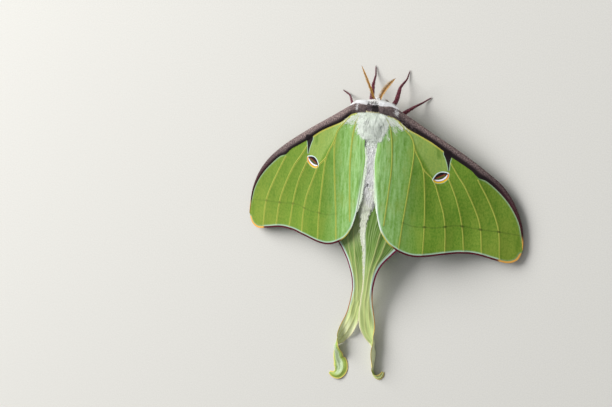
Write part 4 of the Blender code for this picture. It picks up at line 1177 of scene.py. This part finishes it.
def edgeHair(side, look):
    # Long white hairs along the hindwing's inner edge, beside the abdomen and down towards the tail
    count, path = look["count"][side], hindwing["innerPath"][side]
    place = 0.1 + 0.76 * dice.random(count) ** 1.3
    chart = readAt(path, place * (len(path) - 1))
    width = np.interp(place, [0.1, 0.25, 0.4, 0.55, 0.75, 0.9], [2.4, 4.2, 3.6, 1.7, 0.7, 0.2])
    chart[:, 0] += width * look["width"][side] * dice.random(count) ** 1.3
    roots, _ = hindwingSheet(chart, side)
    roots[:, 2] += np.interp(place, [0.1, 0.3, 0.45, 0.6, 0.8], [0.5, 0.9, 0.4, 0.1, 0.04])
    up = np.broadcast_to((0.0, 0.0, 1.0), roots.shape)
    flow = np.broadcast_to((-side * 0.05, -1.0, -0.1), roots.shape)
    length = np.interp(place, [0.1, 0.5, 0.75, 0.9], [2.2, 1.5, 0.7, 0.4])
    radius = np.interp(place, [0.1, 0.5, 0.9], [0.07, 0.06, 0.035])
    lift = np.interp(place, [0.1, 0.5, 0.7], [0.3, 0.2, 0.12])
    chart = chart * (side * 0.008, 0.008) + 0.5
    return growTufts(roots, up, flow, chart, length, radius, lift, *look["tufts"])


def acrossBand(s, end, t):
    # Places on the costal band: s along it as far as a share of its length, t from its front to its back
    lead, inner = forewing["leadingPath"], forewing["bandPath"]
    first = readAt(lead, end * s * (len(lead) - 1))
    return first * (1 - t[:, None]) + readAt(inner, end * 1.1 * s * (len(inner) - 1)) * t[:, None]


def crestHair(side, look):
    # White hairs that stand forward from the leading edge, shorter outwards, and a frosty row at the joint
    s, chart = placesOn(forewing["leadingPath"], 0.003, 0.1, look["count"])
    chart = chart - (0.0, 0.35) * dice.random((look["count"], 1))
    fringe = growOnForewing(side, chart, (0.2 + 0.2 * s, 1.0), 1.6 - 1.2 * s, look["tufts"],
                            dice.uniform(0.0, 0.8, look["count"]))
    s = dice.normal(1.0, 0.07, look["frostCount"])
    chart = acrossBand(s, coatEnd[side], dice.uniform(0.0, 0.7, look["frostCount"]))
    frost = growOnForewing(side, chart, (1.0, -0.3), 0.5, look["frostTufts"], 1.15)
    frost[2]["hairTint"] -= 0.8
    return gather([fringe, frost])


def bandCoat(side, look):
    # Purple hair that carries the collar over the root of the costal band and thins out beyond the joint
    s = np.append(dice.uniform(0, 1, look["count"]), 1 + 1.2 * dice.random(look["beyond"]) ** 2)
    chart = acrossBand(s, coatEnd[side], dice.uniform(0.05, 0.97, len(s)))
    return growOnForewing(side, chart, (1.0, -0.45), 0.8 - 0.18 * s, look["tufts"], 1.1)


# how far along the leading edge the collar's hair goes on each side
coatEnd = {1: 0.088, -1: 0.048}
# tufts: radius, lift, spread, bend, clump and clump size, for the edge hair from its spread on
# finish: spread, sheen, root and tip of the hair's colours
wingHair = {
    "rootWool": {"grow": rootWool, "count": 1400, "tufts": (0.08, 0.26, 0.3, 0.5, 0.75, 1.0),
                 "finish": (0.26, 0.7, (206, 216, 196), (248, 253, 244))},
    "marginHair": {"grow": marginHair, "count": 1500, "tufts": (0.06, 0.06, 0.3, 0.9, 0.3, 0.8),
                   "longer": {1: 1.0, -1: 1.4}, "finish": (0.2, 0.4, (176, 208, 150), (232, 242, 222))},
    "wingRootHair": {"grow": wingRootHair, "count": 800, "tufts": (0.055, 0.2, 0.3, 0.7, 0.7, 0.9),
                     "finish": (0.3, 0.7, (196, 220, 168), (250, 252, 246))},
    "bandHair": {"grow": bandHair, "count": 1100, "tufts": (0.04, 0.3, 0.35, 0.7, 0.4, 0.9),
                 "finish": (0.3, 0.3, (204, 200, 120), (236, 234, 190))},
    "edgeHair": {"grow": edgeHair, "count": {1: 3400, -1: 700}, "width": {1: 1.0, -1: 0.3},
                 "tufts": (0.22, 0.7, 0.6, 1.0), "finish": (0.2, 0.8, (222, 230, 198), (252, 255, 236))},
    "crestHair": {"grow": crestHair, "count": 1500, "tufts": (0.075, 0.38, 0.4, 0.95, 0.3, 0.8),
                  "frostCount": 240, "frostTufts": (0.05, 0.35, 0.4, 0.5, 0.35, 0.8)},
    "bandCoat": {"grow": bandCoat, "count": 1700, "beyond": 500, "tufts": (0.06, 0.34, 0.35, 0.5, 0.35, 0.8),
                 "finish": (0.7, 0.1, (40, 30, 32), (122, 104, 104))},
}
wingHairFinish = {name: buildHairFinish(name, *look["finish"]) if "finish" in look else crestHairFinish
                  for name, look in wingHair.items()}
for side, word in bothSides:
    for name, look in wingHair.items():
        makePiece(name + word, look["grow"](side, look), wingHairFinish[name],
                  "collar_fur" if name == "bandCoat" else "fur", smooth=False)
print("wing hair grown")


# Feelers: a shaft with two rows of fine branches that stand up in a V

feelerLook = {
    "right": [(0.75, 9, 8.2), (1.3, 10.3, 9.2), (2.6, 12, 10.1), (5, 14.4, 11.2), (7.5, 16.6, 12)],
    "left": [(-0.65, 9, 8.2), (-1.1, 10.3, 9.1), (-1.9, 12.4, 9.5), (-3.6, 15.8, 9.7), (-5.7, 19.2, 9.6)],
    "radius": (0.17, 0.05),
    "rows": 120,
    "sides": 8,
    "branches": 120,
    "reach": {"right": 1.25, "left": 0.8},
    "open": {"right": 1.05, "left": 0.9},
}


def buildFeeler(word):
    # A tapering tube, and pairs of branches that open by an angle o to either side: flow =
    # +-across sin o + above cos o + 0.55 forward, as long as reach sin(pi (0.9 s + 0.12))^0.6
    rows, sides = feelerLook["rows"], feelerLook["sides"]
    path = curveThrough(feelerLook[word], rows, 3)
    points, faces = tube(path, np.linspace(*feelerLook["radius"], rows), sides)
    chart = np.column_stack([np.repeat(np.linspace(0, 0.9, rows), sides),
                             np.tile(np.linspace(0, 0.05, sides), rows)])
    values = {"hairAlong": np.zeros(len(points)), "hairTint": np.full(len(points), 0.3), "rootPlace": points,
              "OFBake": chart}
    share = np.repeat(np.linspace(0.1, 0.99, feelerLook["branches"]), 2)
    way = np.tile([1.0, -1.0], feelerLook["branches"])[:, None]
    spot = readAt(path, share * (rows - 1))
    forward = unit(readAt(np.gradient(path, axis=0), share * (rows - 1)))
    across = unit(np.cross(forward, (0.0, 0.0, 1.0)))
    above = np.cross(across, forward)
    opened = feelerLook["open"][word]
    flow = way * across * math.sin(opened) + above * math.cos(opened) + 0.55 * forward
    length = feelerLook["reach"][word] * np.sin(np.pi * np.clip(share * 0.9 + 0.12, 0, 1)) ** 0.6
    normal = unit(np.cross(flow, np.cross(above, flow)))
    chart = np.column_stack([share * 0.9, np.full(len(share), 0.2)])
    comb = growTufts(spot, normal, flow, chart, length, 0.06, 0.05, 0.05, 0.5, 0, 1.0, 0.0)
    return gather([(points, faces, values), comb])


feelerFinish = buildHairFinish("ochreFeeler", 0.35, 0.3, (176, 118, 24), (226, 174, 52))
for word in ("right", "left"):
    makePiece("feeler" + word.capitalize(), buildFeeler(word), feelerFinish, "feeler", ["antenna_" + word])
print("feelers built")


# Legs: a hip, thigh, shin and jointed foot with two claws, under short hair

legLook = {
    "front_right": [(2.8, 6.6, 5.8), (3.9, 9.4, 4.4), (4.4, 13.4, 3.4), (5, 15.8, 0.8), (5.5, 18.2, 0.25)],
    "front_left": [(-3, 6.6, 5.8), (-4.6, 9.2, 4.4), (-5, 13.6, 3.3), (-5.8, 16.2, 0.8),
                   (-6.3, 18.7, 0.25)],
    "middle_right": [(3.2, 3.5, 5.8), (6.2, 5.4, 4.9), (9.2, 7.6, 4.2), (11.2, 9.5, 0.8), (13.3, 11, 0.25)],
    "middle_left": [(-3.2, 3.4, 5.8), (-6.6, 5, 5.1), (-11.2, 7.3, 4.4), (-14.4, 9.4, 0.8),
                    (-17.1, 10.6, 0.25)],
    "hind_right": [(3, 0.4, 5.8), (6, -2.6, 4.6), (8.6, -6.8, 4.3), (10.2, -12, 0.8), (10.9, -15.4, 0.25)],
    "hind_left": [(-3, 0.4, 5.8), (-6, -2.6, 4.6), (-8.6, -6.8, 4.3), (-10.2, -12, 0.8),
                  (-10.9, -15.4, 0.25)],
    "radii": (0.5, 0.5, 0.4, 0.26, 0.16),
    "rows": 150,
    "sides": 12,
    "hairs": 800,
    "clawSides": 6,
}


def legPath(word):
    # Each joint's neighbours are set a little way along its two spans, which keeps the spans straight
    joints = np.column_stack([np.array(legLook[word]), legLook["radii"]])
    lines = [joints[:1]]
    for a, b in zip(joints[:-1], joints[1:]):
        lines.append(a + (b - a) * np.array([0.12, 0.5, 0.88])[:, None])
    lines.append(joints[-1:])
    return curveThrough(np.vstack(lines), legLook["rows"], 3)


def furred(path, radius, sides, count, length, thick):
    # A tube with a coat: as many hairs as thick says on each ring, each as long as length says there
    points, faces = tube(path, radius, sides)
    t = np.linspace(0, 1, len(path))
    zeros = np.zeros(len(points))
    chart = np.column_stack([np.repeat(t * 0.9, sides), np.tile(np.linspace(0, 0.1, sides), len(path))])
    base = (points, faces, {"OFBake": chart, "rootPlace": points, "hairAlong": zeros,
                            "hairTint": zeros + 0.35})
    ringed = points.reshape(len(path), sides, 3)
    normal = unit(ringed - path[:, None])
    thick = np.broadcast_to(thick[:-1, None], (len(path) - 1, sides))
    roots, normals, where = spotsOn(ringed, normal, count, lambda p, n: thick)
    near = np.linalg.norm(roots[:, None] - path[None], axis=-1).argmin(1)
    flow = np.gradient(path, axis=0)[near]
    hairs = growTufts(roots, normals, flow, where, length[near], 0.05, 0.38, 0.35, 0.5, 0.25, 0.7, 0.05)
    hairs[0][:, 2] = np.maximum(hairs[0][:, 2], floorGap)
    return [base, hairs]


def buildLeg(word):
    # The thigh swells by 1 + 0.22 sin(pi t), and the foot pinches at its joints by 1 + 0.16 cos(10 pi t)
    rows = legPath(word)
    path, radius = rows[:, :3], rows[:, 3].copy()
    t = np.linspace(0, 1, len(path))
    radius *= 1 + 0.22 * np.sin(np.pi * np.clip(t / 0.55, 0, 1)) * (t < 0.55)
    foot = np.clip((t - 0.8) / 0.2, 0, 1)
    radius *= np.where(foot > 0, 1 + 0.16 * np.cos(2 * np.pi * 5 * foot), 1)
    radius[-3:] *= (0.9, 0.7, 0.4)
    path[:, 2] = np.maximum(path[:, 2], radius + floorGap)
    parts = furred(path, radius, legLook["sides"], legLook["hairs"], 1.0 - 0.75 * t,
                   ease(-t, -0.82, -0.5) + 0.12)
    tip, ahead = path[-3], unit(path[-3] - path[-9])
    beside = unit(np.cross(ahead, (0.0, 0.0, 1.0)))
    for way in (1, -1):
        claw = np.array([tip, tip + 0.3 * ahead + way * 0.12 * beside + (0, 0, 0.04),
                         tip + 0.55 * ahead + way * 0.3 * beside - (0, 0, 0.1)])
        claw[:, 2] = np.maximum(claw[:, 2], 0.05)
        claw = curveThrough(claw, 10, 3)
        some, groups = tube(claw, np.linspace(0.06, 0.015, len(claw)), legLook["clawSides"])
        zeros = np.zeros(len(some))
        parts.append((some, groups, {"OFBake": np.full((len(some), 2), 0.95), "rootPlace": some,
                                     "hairAlong": zeros, "hairTint": zeros}))
    return gather(parts)


palpLook = {
    "path": [(0.6, 8.5, 6), (0.6, 9, 5.4), (0.55, 9.2, 4.7), (0.5, 9.2, 4.1)],
    "radius": (0.36, 0.2),
    "end": (0.92, 0.8, 0.6, 0.3),
    "hairLength": (0.5, 0.35),
    "rows": 30,
    "sides": 12,
    "hairs": 420,
}


def buildPalps():
    # Two short furred palps in front of the mouth, whose last rings draw in by the shares of "end"
    look, parts = palpLook, []
    for side in (1, -1):
        path = curveThrough(np.array(look["path"]) * (side, 1, 1), look["rows"], 3)
        radius = np.linspace(*look["radius"], look["rows"])
        radius[-len(look["end"]):] *= look["end"]
        length = np.linspace(*look["hairLength"], look["rows"])
        parts += furred(path, radius, look["sides"], look["hairs"], length, np.ones(look["rows"]))
    return gather(parts)


legFinish = buildHairFinish("maroonLeg", 0.4, 0.3, (98, 26, 44), (176, 78, 98))
for word in ("front_right", "front_left", "middle_right", "middle_left", "hind_right", "hind_left"):
    first, second = word.split("_")
    makePiece("leg" + first.capitalize() + second.capitalize(), buildLeg(word), legFinish, "leg",
              ["leg_" + word])
palpFinish = buildHairFinish("palpHair", 0.4, 0.3, (120, 84, 78), (222, 200, 192))
makePiece("palps", buildPalps(), palpFinish, "fur")
print("legs and palps built")


# Eyes: dark domes with fine facets

def buildEye(word):
    # A sphere from rings: radius sin a round an axis that points outwards, at radius cos a along it
    centre = np.array(eyeLook[word])
    outward = unit(np.array([centre[0], 0.5, 0.25]))
    beside = unit(np.cross(outward, (0.0, 0.0, 1.0)))
    above = np.cross(beside, outward)
    a = np.linspace(0.03, np.pi - 0.03, eyeLook["rows"])[:, None, None]
    b = np.linspace(0, 2 * np.pi, eyeLook["sides"], endpoint=False)[None, :, None]
    ring = beside * np.cos(b) + above * np.sin(b)
    points, faces = skinRound(centre + eyeLook["radius"] * (outward * np.cos(a) + np.sin(a) * ring))
    return points, faces, {"rootPlace": points}


def buildEyeFinish():
    material, tree = newFinish("darkEye", 0.25, 0.0, 0.6)
    tree.nodes["Principled BSDF"].inputs["Coat Weight"].default_value = 0.4
    place = attribute(tree, "rootPlace", True)
    facets = place.make("ShaderNodeTexVoronoi", {"Vector": place, "Scale": 9.0}, "Distance")
    surface = paint(colour(28, 16, 14), colour(74, 44, 34), place.noise(1.2).ramp(0.35, 0.7))
    return dress(material, surface, 1 - facets, 0.35, 0.00005)


eyeFinish = buildEyeFinish()
for word in ("right", "left"):
    makePiece("eye" + word.capitalize(), buildEye(word), eyeFinish, "eye", ["eye_" + word])
print("eyes built")


# Camera, light and floor

cameraLook = {
    "right": (0.84275, 0.05953, -0.53501),
    "up": (-0.11370, 0.99113, -0.06882),
    "back": (0.52616, 0.11883, 0.84204),
    "place": (350.558, 89.348, 606.232),
    "lens": 137.94,
}
lightLook = {
    "key": {"place": (-660, 400, 590), "size": 900, "power": 15.4},
    "fill": {"place": (250, 100, 520), "size": 260, "power": 0.15},
    "sky": (0.94, 0.97, 1.0),
    "skyStrength": 0.3,
    "floor": [(212, 210, 204), (206, 204, 198)],
}


def placeCamera():
    look = cameraLook
    data = bpy.data.cameras.new("camera")
    data.lens = look["lens"]
    data.clip_start = 0.01
    camera = addObject("camera", data)
    turned = Matrix((look["right"], look["up"], look["back"])).transposed().to_4x4()
    camera.matrix_world = Matrix.Translation([value * mm for value in look["place"]]) @ turned
    bpy.context.scene.camera = camera


def placeLight(name, look):
    data = bpy.data.lights.new(name, "AREA")
    data.shape = "DISK"
    data.size = look["size"] * mm
    data.energy = look["power"]
    light = addObject(name, data)
    light.location = [value * mm for value in look["place"]]
    light.rotation_euler = light.location.to_track_quat("Z", "Y").to_euler()


def buildFloor():
    mesh = bpy.data.meshes.new("floor")
    reach = 1.2
    corners = [(-reach, -reach, 0), (reach, -reach, 0), (reach, reach, 0), (-reach, reach, 0)]
    mesh.from_pydata(corners, [], [(0, 1, 2, 3)])
    material, tree = newFinish("floorPaper", 0.85)
    pale, dark = (colour(*value) for value in lightLook["floor"])
    mesh.materials.append(dress(material, paint(pale, dark, objectPlace(tree).noise(2600.0).ramp(0.3, 0.7))))
    floor = addObject("floor", mesh)


placeCamera()
placeLight("key", lightLook["key"])
placeLight("fill", lightLook["fill"])
world = bpy.data.worlds.new("world")
world.use_nodes = True
bpy.context.scene.world = world
sky = world.node_tree.nodes["Background"].inputs
sky["Color"].default_value = (*lightLook["sky"], 1.0)
sky["Strength"].default_value = lightLook["skyStrength"]
bpy.context.scene.view_settings.view_transform = "Standard"
buildFloor()
print("camera and lights placed")
